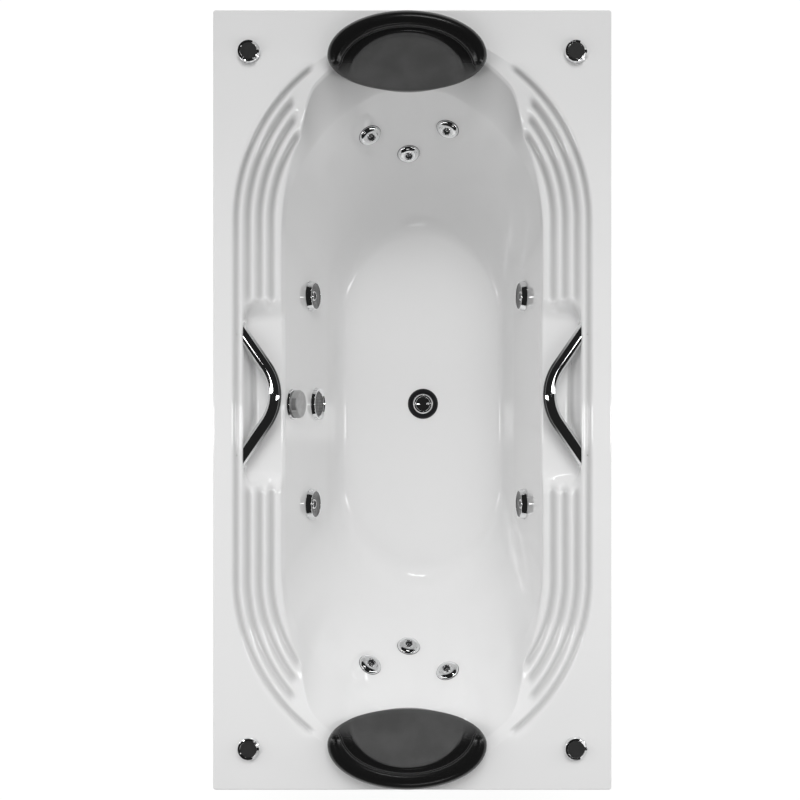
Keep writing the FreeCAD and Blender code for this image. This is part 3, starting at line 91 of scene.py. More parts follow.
class TubShellSettings(PropertyGroup):
    """The moulded shell."""
    columns: IntProperty(name="Columns", description="Divisions round the basin", default=540)
    rib_depth: FloatProperty(name="Rib depth", description="Depth of the terrace's grooves",
                             default=0.009, unit="LENGTH")
    colour: FloatVectorProperty(name="Acrylic", description="Colour of the acrylic",
                                default=(0.80, 0.80, 0.80), size=3, subtype="COLOR")


class TubPillowSettings(PropertyGroup):
    """The two head pillows."""
    roll_height: FloatProperty(name="Roll", description="Height of the roll over the face",
                               default=0.017, unit="LENGTH")
    dish_depth: FloatProperty(name="Dish", description="Depth of the dish in the face",
                              default=0.006, unit="LENGTH")
    colour: FloatVectorProperty(name="Skin", description="Colour of the pillow's skin",
                                default=(0.024, 0.024, 0.024), size=3, subtype="COLOR")


class TubFittingSettings(PropertyGroup):
    """Handles, jets, controls and drain."""
    bar_radius: FloatProperty(name="Handle bar", description="Radius of the handles' bar",
                              default=0.0155, unit="LENGTH")
    bend_radius: FloatProperty(name="Handle bend", description="Bend radius of the bar's axis",
                               default=0.115, unit="LENGTH")
    chrome: FloatVectorProperty(name="Chrome", description="Colour of the chrome plating",
                                default=(0.92, 0.925, 0.93), size=3, subtype="COLOR")


# ---------------------------------------------------------------- shader maths

class Value:
    """A number socket of a tree; its operators add Math nodes."""

    def __init__(self, tree, socket):
        self.tree = tree
        self.socket = socket

    def maths(self, operation, *values):
        node = self.tree.add("ShaderNodeMath", {"operation": operation}, dict(enumerate(values)))
        return Value(self.tree, node.outputs[0])

    def __add__(self, other):
        return self.maths("ADD", self, other)

    __radd__ = __add__

    def __sub__(self, other):
        return self.maths("SUBTRACT", self, other)

    def __rsub__(self, other):
        return self.maths("SUBTRACT", other, self)

    def __mul__(self, other):
        return self.maths("MULTIPLY", self, other)

    __rmul__ = __mul__

    def ramp(self, low, high):
        """Smooth step from 0 at low to 1 at high."""
        node = self.tree.add("ShaderNodeMapRange", {"interpolation_type": "SMOOTHSTEP"},
                             {"Value": self, "From Min": low, "From Max": high})
        return Value(self.tree, node.outputs[0])


class Tree:
    """Adds nodes to a material or a world."""

    def __init__(self, owner):
        owner.use_nodes = True
        owner.node_tree.nodes.clear()
        self.tree = owner.node_tree

    def add(self, kind, settings=None, inputs=None):
        node = self.tree.nodes.new(kind)
        for name, value in (settings or {}).items():
            setattr(node, name, value)
        for key, value in (inputs or {}).items():
            socket = node.inputs[key]
            if isinstance(value, Value):
                value = value.socket
            if isinstance(value, bpy.types.NodeSocket):
                self.tree.links.new(value, socket)
            else:
                socket.default_value = value
        return node

    def value(self, kind, settings=None, inputs=None, output=0):
        return Value(self, self.add(kind, settings, inputs).outputs[output])

    def place(self, scale=(1, 1, 1)):
        """Object coordinates, stretched by scale."""
        coordinates = self.add("ShaderNodeTexCoord").outputs["Object"]
        return self.add("ShaderNodeMapping", None, {"Vector": coordinates, "Scale": scale}).outputs[0]

    def noise(self, scale, detail, stretch=(1, 1, 1)):
        return self.value("ShaderNodeTexNoise", None, {
            "Vector": self.place(stretch), "Scale": scale, "Detail": detail})

    def cells(self, scale, feature="F1", output="Distance"):
        node = self.add("ShaderNodeTexVoronoi", {"feature": feature},
                        {"Vector": self.place(), "Scale": scale})
        return Value(self, node.outputs[output])

    def mixed(self, share, first, second):
        node = self.add("ShaderNodeMix", {"data_type": "RGBA"},
                        {0: share, 6: opaque(first), 7: opaque(second)})
        return node.outputs[2]

    def bump(self, height, distance, strength):
        inputs = {"Height": height, "Distance": distance, "Strength": strength}
        return self.add("ShaderNodeBump", None, inputs).outputs[0]

    def principled(self, **inputs):
        named = {name.replace("_", " "): value for name, value in inputs.items()}
        shader = self.add("ShaderNodeBsdfPrincipled", None, named)
        self.add("ShaderNodeOutputMaterial", None, {"Surface": shader.outputs[0]})


def opaque(colour):
    if isinstance(colour, (Value, bpy.types.NodeSocket)) or len(colour) == 4:
        return colour
    return (*colour, 1.0)


def shaded(colour, factor):
    return tuple(channel * factor for channel in colour)


# ---------------------------------------------------------------- materials

def new_material(name):
    """A material, and the tree that takes its nodes."""
    material = bpy.data.materials.new(name)
    return material, Tree(material)


def acrylic(name, colour):
    """Gloss acrylic with faint wipe marks and orange peel; its attribute of painted shade darkens the
    grooves, the head corners and the pocket walls.
    """
    material, tree = new_material(name)
    cloud = tree.noise(2.5, 4.0)
    wipes = tree.noise(9.0, 5.0, (1, 0.25, 1))
    peel = tree.noise(160.0, 2.0)
    painted_shade = tree.value("ShaderNodeAttribute", {"attribute_name": "painted_shade"}, None, "Fac")
    white = tree.mixed(cloud.ramp(0.3, 0.7), shaded(colour, 0.985), colour)
    # painted shade: the attribute mixes the white towards black in the grooves, head corners and pocket walls
    tree.principled(
        Base_Color=tree.mixed(painted_shade, white, (0, 0, 0)),
        Roughness=0.06 + 0.05 * wipes.ramp(0.35, 0.75),
        Normal=tree.bump(peel, 0.00004, 0.5),
        Specular_IOR_Level=0.5, IOR=1.49, Coat_Weight=0.4, Coat_Roughness=0.03)
    return material


def laminate(name):
    """Chopped glass strands in resin on the shell's back."""
    material, tree = new_material(name)
    one = tree.noise(90.0, 2.0, (1, 0.08, 1))
    other = tree.noise(90.0, 2.0, (0.08, 1, 0.3))
    strands = one.maths("MAXIMUM", one.ramp(0.5, 0.62), other.ramp(0.5, 0.62))
    lumps = tree.noise(14.0, 4.0)
    colour = tree.mixed(strands, (0.47, 0.45, 0.36), (0.66, 0.65, 0.56))
    colour = tree.mixed(lumps.ramp(0.3, 0.8) * 0.5, colour, (0.38, 0.35, 0.25))
    tree.principled(
        Base_Color=colour,
        Roughness=0.35 + 0.25 * lumps,
        Normal=tree.bump(strands * 0.6 + lumps, 0.0012, 0.8))
    return material


def chrome(name, colour, rough=0.045):
    """Polished plating with faint polishing streaks and haze."""
    material, tree = new_material(name)
    haze = tree.noise(30.0, 4.0)
    streaks = tree.noise(220.0, 2.0, (1, 0.05, 1))
    tree.principled(
        Base_Color=tree.mixed(haze.ramp(0.3, 0.8), colour, shaded(colour, 0.93)),
        Metallic=1.0,
        Roughness=rough + 0.05 * haze.ramp(0.45, 0.9) + 0.015 * streaks,
        Normal=tree.bump(streaks, 0.000004, 0.4))
    return material


def satin(name, colour):
    """Brushed plating that spreads the light."""
    material, tree = new_material(name)
    haze = tree.noise(60.0, 4.0)
    tree.principled(
        Base_Color=tree.mixed(haze.ramp(0.3, 0.7), colour, shaded(colour, 0.85)),
        Metallic=0.35,
        Roughness=0.3 + 0.15 * haze,
        Normal=tree.bump(tree.noise(700.0, 2.0), 0.00001, 0.5))
    return material


def bar_chrome(name, colour):
    """Polished bar whose bather's side holds a painted dark reflection, set by its attribute."""
    material, tree = new_material(name)
    haze = tree.noise(30.0, 4.0)
    tone = tree.value("ShaderNodeAttribute", {"attribute_name": "painted_dark_reflection"}, None, "Fac")
    streaks = tree.noise(220.0, 2.0, (1, 0.05, 1))
    bright = tree.mixed(haze.ramp(0.3, 0.8), colour, shaded(colour, 0.93))
    # painted reflection: near-black colour where the bar's side faces the basin
    tree.principled(
        Base_Color=tree.mixed(tone, bright, shaded(colour, 0.05)),
        Metallic=1.0,
        Roughness=0.03 + 0.04 * haze.ramp(0.45, 0.9) + 0.01 * streaks,
        Normal=tree.bump(streaks, 0.000004, 0.4))
    return material


def skin(name, colour):
    """Moulded skin of the pillows: fine grain on the matt face, smooth gloss on the roll."""
    material, tree = new_material(name)
    roll = tree.value("ShaderNodeAttribute", {"attribute_name": "roll"}, None, "Fac")
    grain = tree.cells(620.0, "DISTANCE_TO_EDGE").ramp(0.0, 0.25)
    cloud = tree.noise(18.0, 4.0)
    matt = 1.0 - roll
    face = tree.mixed(cloud.ramp(0.3, 0.75), shaded(colour, 2.2), shaded(colour, 2.9))
    tree.principled(
        Base_Color=tree.mixed(roll, face, shaded(colour, 0.2)),
        Roughness=0.2 + matt * (0.3 + 0.08 * cloud),
        Normal=tree.bump(grain * (0.25 + 0.75 * matt), 0.00012, 0.45),
        Sheen_Weight=0.12, Sheen_Roughness=0.5)
    return material


def moulded(name, colour, rough=0.35):
    """Moulded plastic with a fine spark-eroded grain and slight clouding."""
    material, tree = new_material(name)
    cloud = tree.noise(11.0, 4.0)
    fine = tree.noise(500.0, 2.0)
    tree.principled(
        Base_Color=tree.mixed(cloud.ramp(0.3, 0.75), shaded(colour, 0.86), colour),
        Roughness=rough + 0.12 * (cloud - 0.5) + 0.06 * fine,
        Normal=tree.bump(fine, 0.00003, 0.6))
    return material


def plated(name, colour):
    """Zinc-plated steel with spangle."""
    material, tree = new_material(name)
    spangle = tree.cells(140.0, "F1", "Color")
    cloud = tree.noise(24.0, 4.0)
    tree.principled(
        Base_Color=tree.mixed(cloud.ramp(0.35, 0.7), shaded(colour, 0.8), colour),
        Metallic=1.0,
        Roughness=0.28 + 0.14 * cloud + 0.08 * spangle,
        Normal=tree.bump(cloud, 0.0001, 0.3))
    return material


def powder_coat(name, colour):
    """Powder coat: even colour over a fine pebbled surface, dulled by dust in places."""
    material, tree = new_material(name)
    pebbles = tree.noise(900.0, 2.0)
    dust = tree.noise(7.0, 5.0)
    tree.principled(
        Base_Color=tree.mixed(dust.ramp(0.45, 0.8) * 0.35, colour, (0.42, 0.41, 0.39)),
        Roughness=0.42 + 0.2 * dust.ramp(0.4, 0.8),
        Normal=tree.bump(pebbles, 0.00008, 0.6))
    return material


def chipboard(name, colour):
    """Pressed chips of several shades."""
    material, tree = new_material(name)
    chips = tree.cells(95.0, "F1", "Color")
    flakes = tree.noise(60.0, 5.0, (1, 0.35, 1))
    tone = chips * 0.6 + flakes.ramp(0.3, 0.7) * 0.4
    tree.principled(
        Base_Color=tree.mixed(tone, shaded(colour, 0.6), shaded(colour, 1.25)),
        Roughness=0.75 + 0.15 * flakes,
        Normal=tree.bump(flakes + chips * 0.5, 0.0004, 0.7))
    return material


# ---------------------------------------------------------------- mesh helpers

def new_object(name, mesh, material=None):
    thing = bpy.data.objects.new(name, mesh)
    bpy.context.scene.collection.objects.link(thing)
    if material is not None:
        mesh.materials.append(material)
    return thing


def closed_mesh(name, points, faces):
    """Mesh with its faces turned outwards."""
    mesh = bpy.data.meshes.new(name)
    mesh.from_pydata([tuple(point) for point in points], [], faces)
    work = bmesh.new()
    work.from_mesh(mesh)
    bmesh.ops.recalc_face_normals(work, faces=work.faces)
    if work.calc_volume(signed=True) < 0:
        bmesh.ops.reverse_faces(work, faces=work.faces)
    for face in work.faces:
        face.smooth = True
    work.to_mesh(mesh)
    work.free()
    return mesh


def quads(rows, count):
    """Faces between two rings of count points each, for each pair of rows."""
    return [(low * count + column, low * count + (column + 1) % count,
             high * count + (column + 1) % count, high * count + column)
            for low, high in rows for column in range(count)]


def joined(name, objects):
    """One object from several, with their materials kept."""
    work = bmesh.new()
    materials = []
    for thing in objects:
        start = len(work.faces)
        work.from_mesh(thing.data)
        work.faces.ensure_lookup_table()
        slots = []
        for material in thing.data.materials:
            if material not in materials:
                materials.append(material)
            slots.append(materials.index(material))
        for face in work.faces[start:]:
            face.material_index = slots[face.material_index] if slots else 0
    mesh = bpy.data.meshes.new(name)
    work.to_mesh(mesh)
    work.free()
    for material in materials:
        mesh.materials.append(material)
    for thing in objects:
        bpy.data.objects.remove(thing)
    return new_object(name, mesh)


def rounded(points, steps=4):
    """An outline of (radius, height[, rounding]) points, its corners rounded between support points."""
    out = []
    for index, point in enumerate(points):
        here = Vector(point[:2])
        size = point[2] if len(point) > 2 else 0.0
        if not size or index in (0, len(points) - 1):
            out.append(here)
            continue
        before, after = Vector(points[index - 1][:2]), Vector(points[index + 1][:2])
        back, ahead = (before - here).normalized(), (after - here).normalized()
        half = back.angle(ahead) / 2
        if half > math.radians(88):
            out.append(here)
            continue
        run = size / math.tan(half)
        centre = here + (back + ahead).normalized() * (size / math.sin(half))
        first, last = here + back * run, here + ahead * run
        out.append(first + back * size * 0.12)
        turn = (first - centre).angle_signed(last - centre)
        for step in range(steps + 1):
            angle = -turn * step / steps
            arm = first - centre
            out.append(centre + Vector((arm.x * math.cos(angle) - arm.y * math.sin(angle),
                                        arm.x * math.sin(angle) + arm.y * math.cos(angle))))
        out.append(last + ahead * size * 0.12)
    return out


def seat_matrix(position, facing):
    """Matrix that stands a piece's own Z on a wall; position is in millimetres."""
    turn = Vector((0, 0, 1)).rotation_difference(Vector(facing)).to_matrix().to_4x4()
    return Matrix.Translation(Vector(position) * MM) @ turn


def turned(name, points, seat, material, steps):
    """A piece turned round its seat's axis from a closed or axis-to-axis half outline in millimetres."""
    outline = rounded(points)
    open_ended = points[0][0] == 0 and points[-1][0] == 0
    rings, vertices, faces = [], [], []
    for radius, height in outline:
        if radius <= 1e-9:
            rings.append([len(vertices)])
            vertices.append(seat @ Vector((0, 0, height * MM)))
            continue
        rings.append(list(range(len(vertices), len(vertices) + steps)))
        for step in range(steps):
            angle = 2 * math.pi * step / steps
            x, y = radius * MM * math.cos(angle), radius * MM * math.sin(angle)
            vertices.append(seat @ Vector((x, y, height * MM)))
    pairs = list(zip(rings, rings[1:])) + ([] if open_ended else [(rings[-1], rings[0])])
    for low, high in pairs:
        for step in range(steps):
            after = (step + 1) % steps
            corners = [low[step % len(low)], low[after % len(low)],
                       high[after % len(high)], high[step % len(high)]]
            face = list(dict.fromkeys(corners))
            if len(face) > 2:
                faces.append(face)
    return new_object(name, closed_mesh(name, vertices, faces), material)


# ---------------------------------------------------------------- geometry nodes

def node_group(name, sockets):
    """A tree with a geometry input and output and the named inputs, and its input and output nodes."""
    group = bpy.data.node_groups.new(name, "GeometryNodeTree")
    group.interface.new_socket("Geometry", in_out="INPUT", socket_type="NodeSocketGeometry")
    for label, kind in sockets:
        group.interface.new_socket(label, in_out="INPUT", socket_type=kind)
    group.interface.new_socket("Geometry", in_out="OUTPUT", socket_type="NodeSocketGeometry")
    return group, group.nodes.new("NodeGroupInput"), group.nodes.new("NodeGroupOutput")


def chain(group, *steps):
    """Add a node of each kind and set its properties and inputs; gives back the nodes."""
    made = []
    for kind, settings, inputs in steps:
        node = group.nodes.new(kind)
        for name, value in settings.items():
            setattr(node, name, value)
        for key, value in inputs.items():
            if isinstance(value, bpy.types.NodeSocket):
                group.links.new(value, node.inputs[key])
            elif isinstance(value, bpy.types.Node):
                group.links.new(value.outputs[0], node.inputs[key])
            else:
                node.inputs[key].default_value = value
        made.append(node)
    return made


def finished(group, geometry, material, output):
    """End the tree in Realize Instances and Set Material."""
    realize = group.nodes.new("GeometryNodeRealizeInstances")
    group.links.new(geometry, realize.inputs[0])
    paint = group.nodes.new("GeometryNodeSetMaterial")
    group.links.new(realize.outputs[0], paint.inputs[0])
    group.links.new(material, paint.inputs["Material"])
    group.links.new(paint.outputs[0], output.inputs[0])


def made_by_nodes(thing, group, values, name, material):
    """Run the tree on the object with the values of its named inputs, and keep the result as a plain mesh."""
    modifier = thing.modifiers.new("Build", "NODES")
    modifier.node_group = group
    for item in group.interface.items_tree:
        if item.item_type == "SOCKET" and item.in_out == "INPUT" and item.name in values:
            modifier[item.identifier] = values[item.name]
    bpy.context.view_layer.update()
    graph = bpy.context.evaluated_depsgraph_get()
    mesh = bpy.data.meshes.new_from_object(thing.evaluated_get(graph), depsgraph=graph)
    mesh.name = name
    bpy.data.objects.remove(thing)
    mesh.materials.clear()
    return new_object(name, mesh, material)


def spread_tree():
    """Puts one piece on every point, its own Z along the point's facing."""
    group, given, output = node_group("Pieces on seats", [
        ("Piece", "NodeSocketObject"), ("Size", "NodeSocketFloat"), ("Material", "NodeSocketMaterial")])
    info, facing = chain(
        group,
        ("GeometryNodeObjectInfo", {"transform_space": "ORIGINAL"}, {"Object": given.outputs["Piece"]}),
        ("GeometryNodeInputNamedAttribute", {"data_type": "FLOAT_VECTOR"}, {"Name": "facing"}))
    (turn,) = chain(group, ("FunctionNodeAlignRotationToVector", {"axis": "Z"}, {"Vector": facing}))
    (spread,) = chain(group, ("GeometryNodeInstanceOnPoints", {}, {
        "Points": given.outputs["Geometry"], "Instance": info.outputs["Geometry"],
        "Rotation": turn, "Scale": given.outputs["Size"]}))
    finished(group, spread.outputs[0], given.outputs["Material"], output)
    return group


def spread(name, piece, seats, material):
    """Copies of a piece on seats of (position, facing), as one mesh."""
    mesh = bpy.data.meshes.new(f"{name}_seats")
    mesh.from_pydata([Vector(position) * MM for position, _ in seats], [], [])
    facing = mesh.attributes.new("facing", "FLOAT_VECTOR", "POINT")
    for item, (_, way) in zip(facing.data, seats):
        item.vector = way
    made = made_by_nodes(new_object(f"{name}_seats", mesh), spread_tree(),
                         {"Piece": piece, "Size": 1.0, "Material": material}, name, material)
    bpy.data.objects.remove(piece)
    return made


def bow_tree():
    """Bends a bar along a cornered line."""
    group, given, output = node_group("Bent bar", [
        ("Bar radius", "NodeSocketFloat"), ("Bend radius", "NodeSocketFloat"),
        ("Material", "NodeSocketMaterial")])
    (line,) = chain(group, ("GeometryNodeMeshToCurve", {}, {"Mesh": given.outputs["Geometry"]}))
    (bend,) = chain(group, ("GeometryNodeFilletCurve", {"mode": "POLY"}, {
        "Curve": line, "Count": 40, "Radius": given.outputs["Bend radius"], "Limit Radius": False}))
    (ring,) = chain(group, ("GeometryNodeCurvePrimitiveCircle", {"mode": "RADIUS"}, {
        "Resolution": 72, "Radius": given.outputs["Bar radius"]}))
    (bar,) = chain(group, ("GeometryNodeCurveToMesh", {}, {
        "Curve": bend, "Profile Curve": ring.outputs[0], "Fill Caps": True}))
    finished(group, bar.outputs[0], given.outputs["Material"], output)
    return group


# ---------------------------------------------------------------- the basin's form

def oval(drop, half_width, half_length, stretch, share, shift=0.0):
    """Drop below the rim, half width, half length, straight side, end radius and shift of an oval."""
    straight, end_radius = half_length - stretch * half_width, share * half_width
    return np.array([drop, half_width, half_length, straight, end_radius, shift])


EDGE_DROP, SEAT_DROP, KNEE_DROP, FLOOR_DROP = 35.0, 60.0, 330.0, 420.0
FLOOR_SHIFT = 32.0
SLOPE = FLOOR_DROP - EDGE_DROP
RIM = oval(0, 410, 854, 1.075, 0.866)
EDGE = oval(EDGE_DROP, 306, 828, 1.46, 0.856)
SEAT = oval(SEAT_DROP, 300, 735, 1.12, 0.933, FLOOR_SHIFT * (SEAT_DROP - EDGE_DROP) / SLOPE)
KNEE = oval(KNEE_DROP, 238.5, 540, 1.09, 0.797, FLOOR_SHIFT * (KNEE_DROP - EDGE_DROP) / SLOPE)
FLOOR = oval(FLOOR_DROP, 200, 430, 1.1, 0.75, FLOOR_SHIFT)
RIB_FIRST, RIB_PITCH, RIB_LAST = 2.0, 26.5, 3
FITTINGS_LINE = -10.0
DRAIN = (FLOOR_SHIFT, FITTINGS_LINE)
DRAIN_HOLE = 24.3
HANDLE_LINE = 12.0
HANDLE_DROP = 19.0
HANDLE_LEAN = math.radians(34.5)
HANDLE_HALF_SPAN = 140.0
BAR_SPARE = 40.0
POCKET_REACH = 391.0
POCKET_FLOOR = 532.0
POCKET_SWELL = 24.0
SWELL_HALF_LENGTH = 112.0
BACK_RADIUS, SIDE_RADIUS, OVERFLOW_RADIUS, SUCTION_RADIUS = 27.5, 38.0, 37.0, 41.0
SEAT_MARGIN = 1.0

BACK_SEATS = [((x, end * y, z), (nx, end * ny, nz)) for end in (1, -1) for x, y, z, nx, ny, nz in (
    (-101, 641.476, 430, 0.389157, -0.702833, 0.595468),
    (-7, 611.52, 351, 0.099141, -0.801428, 0.589818),
    (87, 656.489, 430, -0.279683, -0.776605, 0.564502))]
SIDE_SEATS = [((x, end * 257, 365), (nx, 0, nz)) for x, nx, nz in (
    (-249.733, 0.954915, 0.296878), (279.655, -0.989698, 0.143171)) for end in (1, -1)]
LEFT_WALL = (0.954915, 0, 0.296878)
OVERFLOW_SEAT = ((-285.175, FITTINGS_LINE, 479), LEFT_WALL)
SUCTION_SEAT = ((-237.298, FITTINGS_LINE, 325), LEFT_WALL)
CONTROL_SEATS = [((x, y, RIM_HEIGHT), (0, 0, 1)) for y in (803, -803) for x in (-377, 377)]
DRAIN_SEAT = ((*DRAIN, FLOOR_HEIGHT), (0, 0, 1))


def off_side(x, y):
    """Angle of a direction from the tub's X axis, folded into one quarter, in degrees."""
    return np.degrees(np.arctan2(abs(y), abs(x)))


def rows_of(kinds, wanted):
    return [index for index, kind in enumerate(kinds) if kind == wanted]


def smooth(value, low, high):
    """Smooth step from 0 at low to 1 at high, on numbers or arrays."""
    share = np.clip((value - low) / (high - low), 0, 1)
    return share * share * (3 - 2 * share)


def side_circle(level):
    """Radius and centre of the arcs that run from an oval's straight sides to its ends."""
    half_width, half_length, straight, end = level[1:5]
    rise = half_length - end - straight
    radius = (half_width ** 2 + rise ** 2 - end ** 2) / (2 * (half_width - end))
    return radius, half_width - radius, straight


def oval_reach(level, cosine, sine):
    """Distance from an oval's centre to its line in each direction."""
    half_width, half_length, straight, end = level[1:5]
    radius, centre_x, centre_y = side_circle(level)
    cosine, sine = abs(cosine), abs(sine)

    def hit(x, y, size):
        along = cosine * x + sine * y
        return along + np.sqrt(np.maximum(along ** 2 - (x * x + y * y - size * size), 0))

    end_y = half_length - end
    arm = np.array([-centre_x, end_y - centre_y])
    arm = arm / np.hypot(*arm) * end
    joint = math.atan2(end_y + arm[1], arm[0])
    angle = np.arctan2(sine, cosine)
    curved = np.where(angle < joint, hit(centre_x, centre_y, radius), hit(0, end_y, end))
    return np.where(angle < math.atan2(straight, half_width), half_width / np.maximum(cosine, 1e-9), curved)


def deck_reach(inset, cosine, sine):
    """Distance from the middle to the rim's rounded rectangle in each direction."""
    half_x, half_y, corner = HALF_WIDTH - inset, HALF_LENGTH - inset, max(DECK_CORNER - inset, 0.5)
    cosine, sine = np.maximum(abs(cosine), 1e-9), np.maximum(abs(sine), 1e-9)
    straight = np.minimum(half_x / cosine, half_y / sine)
    x, y = half_x - corner, half_y - corner
    along = cosine * x + sine * y
    curved = along + np.sqrt(np.maximum(along ** 2 - (x * x + y * y - corner * corner), 0))
    in_corner = (straight * cosine > x) & (straight * sine > y)
    return np.where(in_corner, curved, straight)


def columns(count):
    """Directions spaced evenly along the basin, with a few more at the rim's corners."""
    fine = np.linspace(0, 2 * np.pi, 20001)
    reach = oval_reach(SEAT, np.cos(fine), np.sin(fine))
    line = np.column_stack([reach * np.cos(fine), reach * np.sin(fine)])
    run = np.concatenate([[0], np.cumsum(np.hypot(*np.diff(line, axis=0).T))])
    even = np.interp(np.arange(count) / count * run[-1], run, fine)
    corner = math.atan2(HALF_LENGTH, HALF_WIDTH)
    extra = [sign * corner + turn + half for turn in (0, math.pi) for sign in (-1, 1)
             for half in np.radians([-0.36, -0.24, -0.12, 0.0, 0.12, 0.24, 0.36])]
    return np.unique(np.round(np.concatenate([even, np.mod(extra, 2 * np.pi)]), 6))


def edge_line(cosine, sine):
    """Reach and drop of the terrace's inner edge, which climbs to the rim beside the pillows."""
    climb = 0.42 * smooth(off_side(cosine, sine), 67, 73)
    base, rim = oval_reach(EDGE, cosine, sine), oval_reach(RIM, cosine, sine)
    return base + (rim - 6 - base) * climb, EDGE_DROP - 57 * climb


def rib_cut(x, y, depth):
    """How far the terrace's grooves lie below it."""
    radius, centre_x, centre_y = side_circle(RIM)
    across, along = abs(x), abs(y)
    beyond = along > centre_y
    arm_x, arm_y = across - centre_x, along - centre_y
    inset = np.where(beyond, radius - np.hypot(arm_x, arm_y), RIM[1] - across)
    turn = np.where(beyond, np.degrees(np.arctan2(arm_y, np.maximum(arm_x, 1e-6))), 0)
    number = np.clip(np.round((inset - RIB_FIRST) / RIB_PITCH), 0, RIB_LAST)
    phase = (inset - RIB_FIRST - RIB_PITCH * number) / RIB_PITCH
    width = np.where((number == 0) & (phase < 0), 0.36, 0.5)
    wave = np.where(abs(phase) < width, 0.5 + 0.5 * np.cos(np.pi * phase / width), 0)
    limit = np.where(number == 0, 54.0, 43 - (number - 1) * 3.7)
    corner = smooth((limit - turn) * radius * math.pi / 180, 0, 26)
    start = smooth(abs(y - HANDLE_LINE), 196, 236)
    return depth * wave * corner * np.where(number == 0, 1, start)


def pocket_share(y):
    """1 in the hand pocket, falling to 0 at its sloping ends."""
    return 1 - smooth(abs(y - HANDLE_LINE), 174, 228)


def pocket_weight(x, y):
    """The pocket's share on the tub's two sides, and 0 at its ends."""
    return np.where((abs(y) < 300) & (abs(x) > 200), pocket_share(y), 0)


def crescent(y):
    """1 at the middle of the pocket, falling to 0 where the swell of its wall ends."""
    return np.clip(1 - ((y - HANDLE_LINE) / SWELL_HALF_LENGTH) ** 2, 0, 1)


def pocket_foot(y):
    """Line of the pocket wall's foot, which swells towards the bather."""
    return POCKET_REACH - POCKET_SWELL * crescent(y)


def drain_ring(cosine, sine, z):
    """Edge of the drain's hole at a height."""
    return np.column_stack([DRAIN[0] + DRAIN_HOLE * cosine, DRAIN[1] + DRAIN_HOLE * sine,
                            np.zeros(len(cosine)) + z])


def shell_rings(cosine, sine):
    """Rings of the shell's upper face from the lip to the drain, in millimetres."""
    rings, kinds = [], []

    def put(reach, z, shift=0.0, kind="deck"):
        rings.append(np.column_stack([shift + reach * cosine, reach * sine, np.zeros(len(cosine)) + z]))
        kinds.append(kind)

    for drop in (LIP_DROP, LIP_DROP - 1, DECK_EDGE + 1):
        put(deck_reach(0, cosine, sine), RIM_HEIGHT - drop)
    for angle in np.radians([0, 22.5, 45, 67.5, 90]):
        inset = DECK_EDGE * (1 - math.cos(angle))
        put(deck_reach(inset, cosine, sine), RIM_HEIGHT - DECK_EDGE * (1 - math.sin(angle)))
    outer, rim = deck_reach(3.6, cosine, sine), oval_reach(RIM, cosine, sine)
    edge, drop = edge_line(cosine, sine)
    for share in (0, 0.25, 0.5, 0.75):
        put(outer + (rim + 12 - outer) * share, RIM_HEIGHT)
    for share in np.linspace(-0.11, 1, 58):
        put(rim + (edge - rim) * share, RIM_HEIGHT - drop * max(share, 0), 0, "terrace")
    angle = off_side(cosine, sine)
    low = SEAT_DROP + 42 * smooth(angle, 62, 69) * (1 - smooth(angle, 77, 84))
    seat = oval_reach(SEAT, cosine, sine)
    for share in (0.08, 0.17, 0.27, 0.38, 0.5, 0.62, 0.75, 0.88, 0.95, 1.0):
        put(edge + (seat - edge) * share, RIM_HEIGHT - drop - (low - drop) * share, SEAT[5] * share, "seat")
    for share in (0.008, 0.02, 0.04, 0.07, 0.11, *np.linspace(0.16, 1, 18)):
        level = SEAT + (KNEE - SEAT) * share
        extra = (low - SEAT_DROP) * (1 - share) ** 2
        put(oval_reach(level, cosine, sine), RIM_HEIGHT - level[0] - extra, level[5], "wall")
    corner = KNEE + (KNEE - SEAT) * (FLOOR_DROP - KNEE_DROP) / (KNEE_DROP - SEAT_DROP)
    corner[5] = KNEE[5] + (FLOOR[5] - KNEE[5]) * 0.5
    for share in np.linspace(0, 1, 15)[1:]:
        level = (1 - share) ** 2 * KNEE + 2 * share * (1 - share) * corner + share ** 2 * FLOOR
        put(oval_reach(level, cosine, sine), RIM_HEIGHT - level[0], level[5], "knee")
    floor_line = rings[-1]
    mouth = drain_ring(cosine, sine, FLOOR_HEIGHT)
    for share in (0.03, 0.12, 0.3, 0.5, 0.7, 0.85, 0.95, 1.0):
        rings.append(floor_line + (mouth - floor_line) * share)
        kinds.append("floor")
    return np.array(rings), kinds


def sink_pockets(rings, kinds):
    """Lower the hand pockets into the terrace."""
    rows = rows_of(kinds, "terrace")
    first_share = (RIM[1] - POCKET_REACH) / (RIM[1] - EDGE[1])
    for index in rows:
        share = (index - rows[0]) / (len(rows) - 1) * 1.11 - 0.11
        if share <= first_share:
            continue
        ring = rings[index]
        x, y, z = ring.T
        weight = pocket_weight(x, y)
        part = (share - first_share) / (1 - first_share)
        down = min(part / 0.32, 1.0)
        out = max((part - 0.32) / 0.68, 0.0)
        top = RIM_HEIGHT - EDGE_DROP * first_share
        foot = pocket_foot(y)
        deep_x = np.where(out > 0, foot + (EDGE[1] - foot) * out, POCKET_REACH + (foot - POCKET_REACH) * down)
        deep_z = top + (POCKET_FLOOR - top) * down - 3 * out
        trough = 14 * crescent(y) * (1 - smooth(abs(deep_x - POCKET_REACH + 13), 4, 15))
        ring[:, 0] = x + (np.sign(x) * deep_x - x) * weight
        ring[:, 2] = z + (deep_z - trough - z) * weight
    for index in rows_of(kinds, "seat"):
        ring = rings[index]
        weight = pocket_weight(ring[:, 0], ring[:, 1])
        share = (RIM_HEIGHT - EDGE_DROP - ring[:, 2]) / (SEAT_DROP - EDGE_DROP)
        ring[:, 2] += (POCKET_FLOOR - 3 - 9 * share - ring[:, 2]) * weight


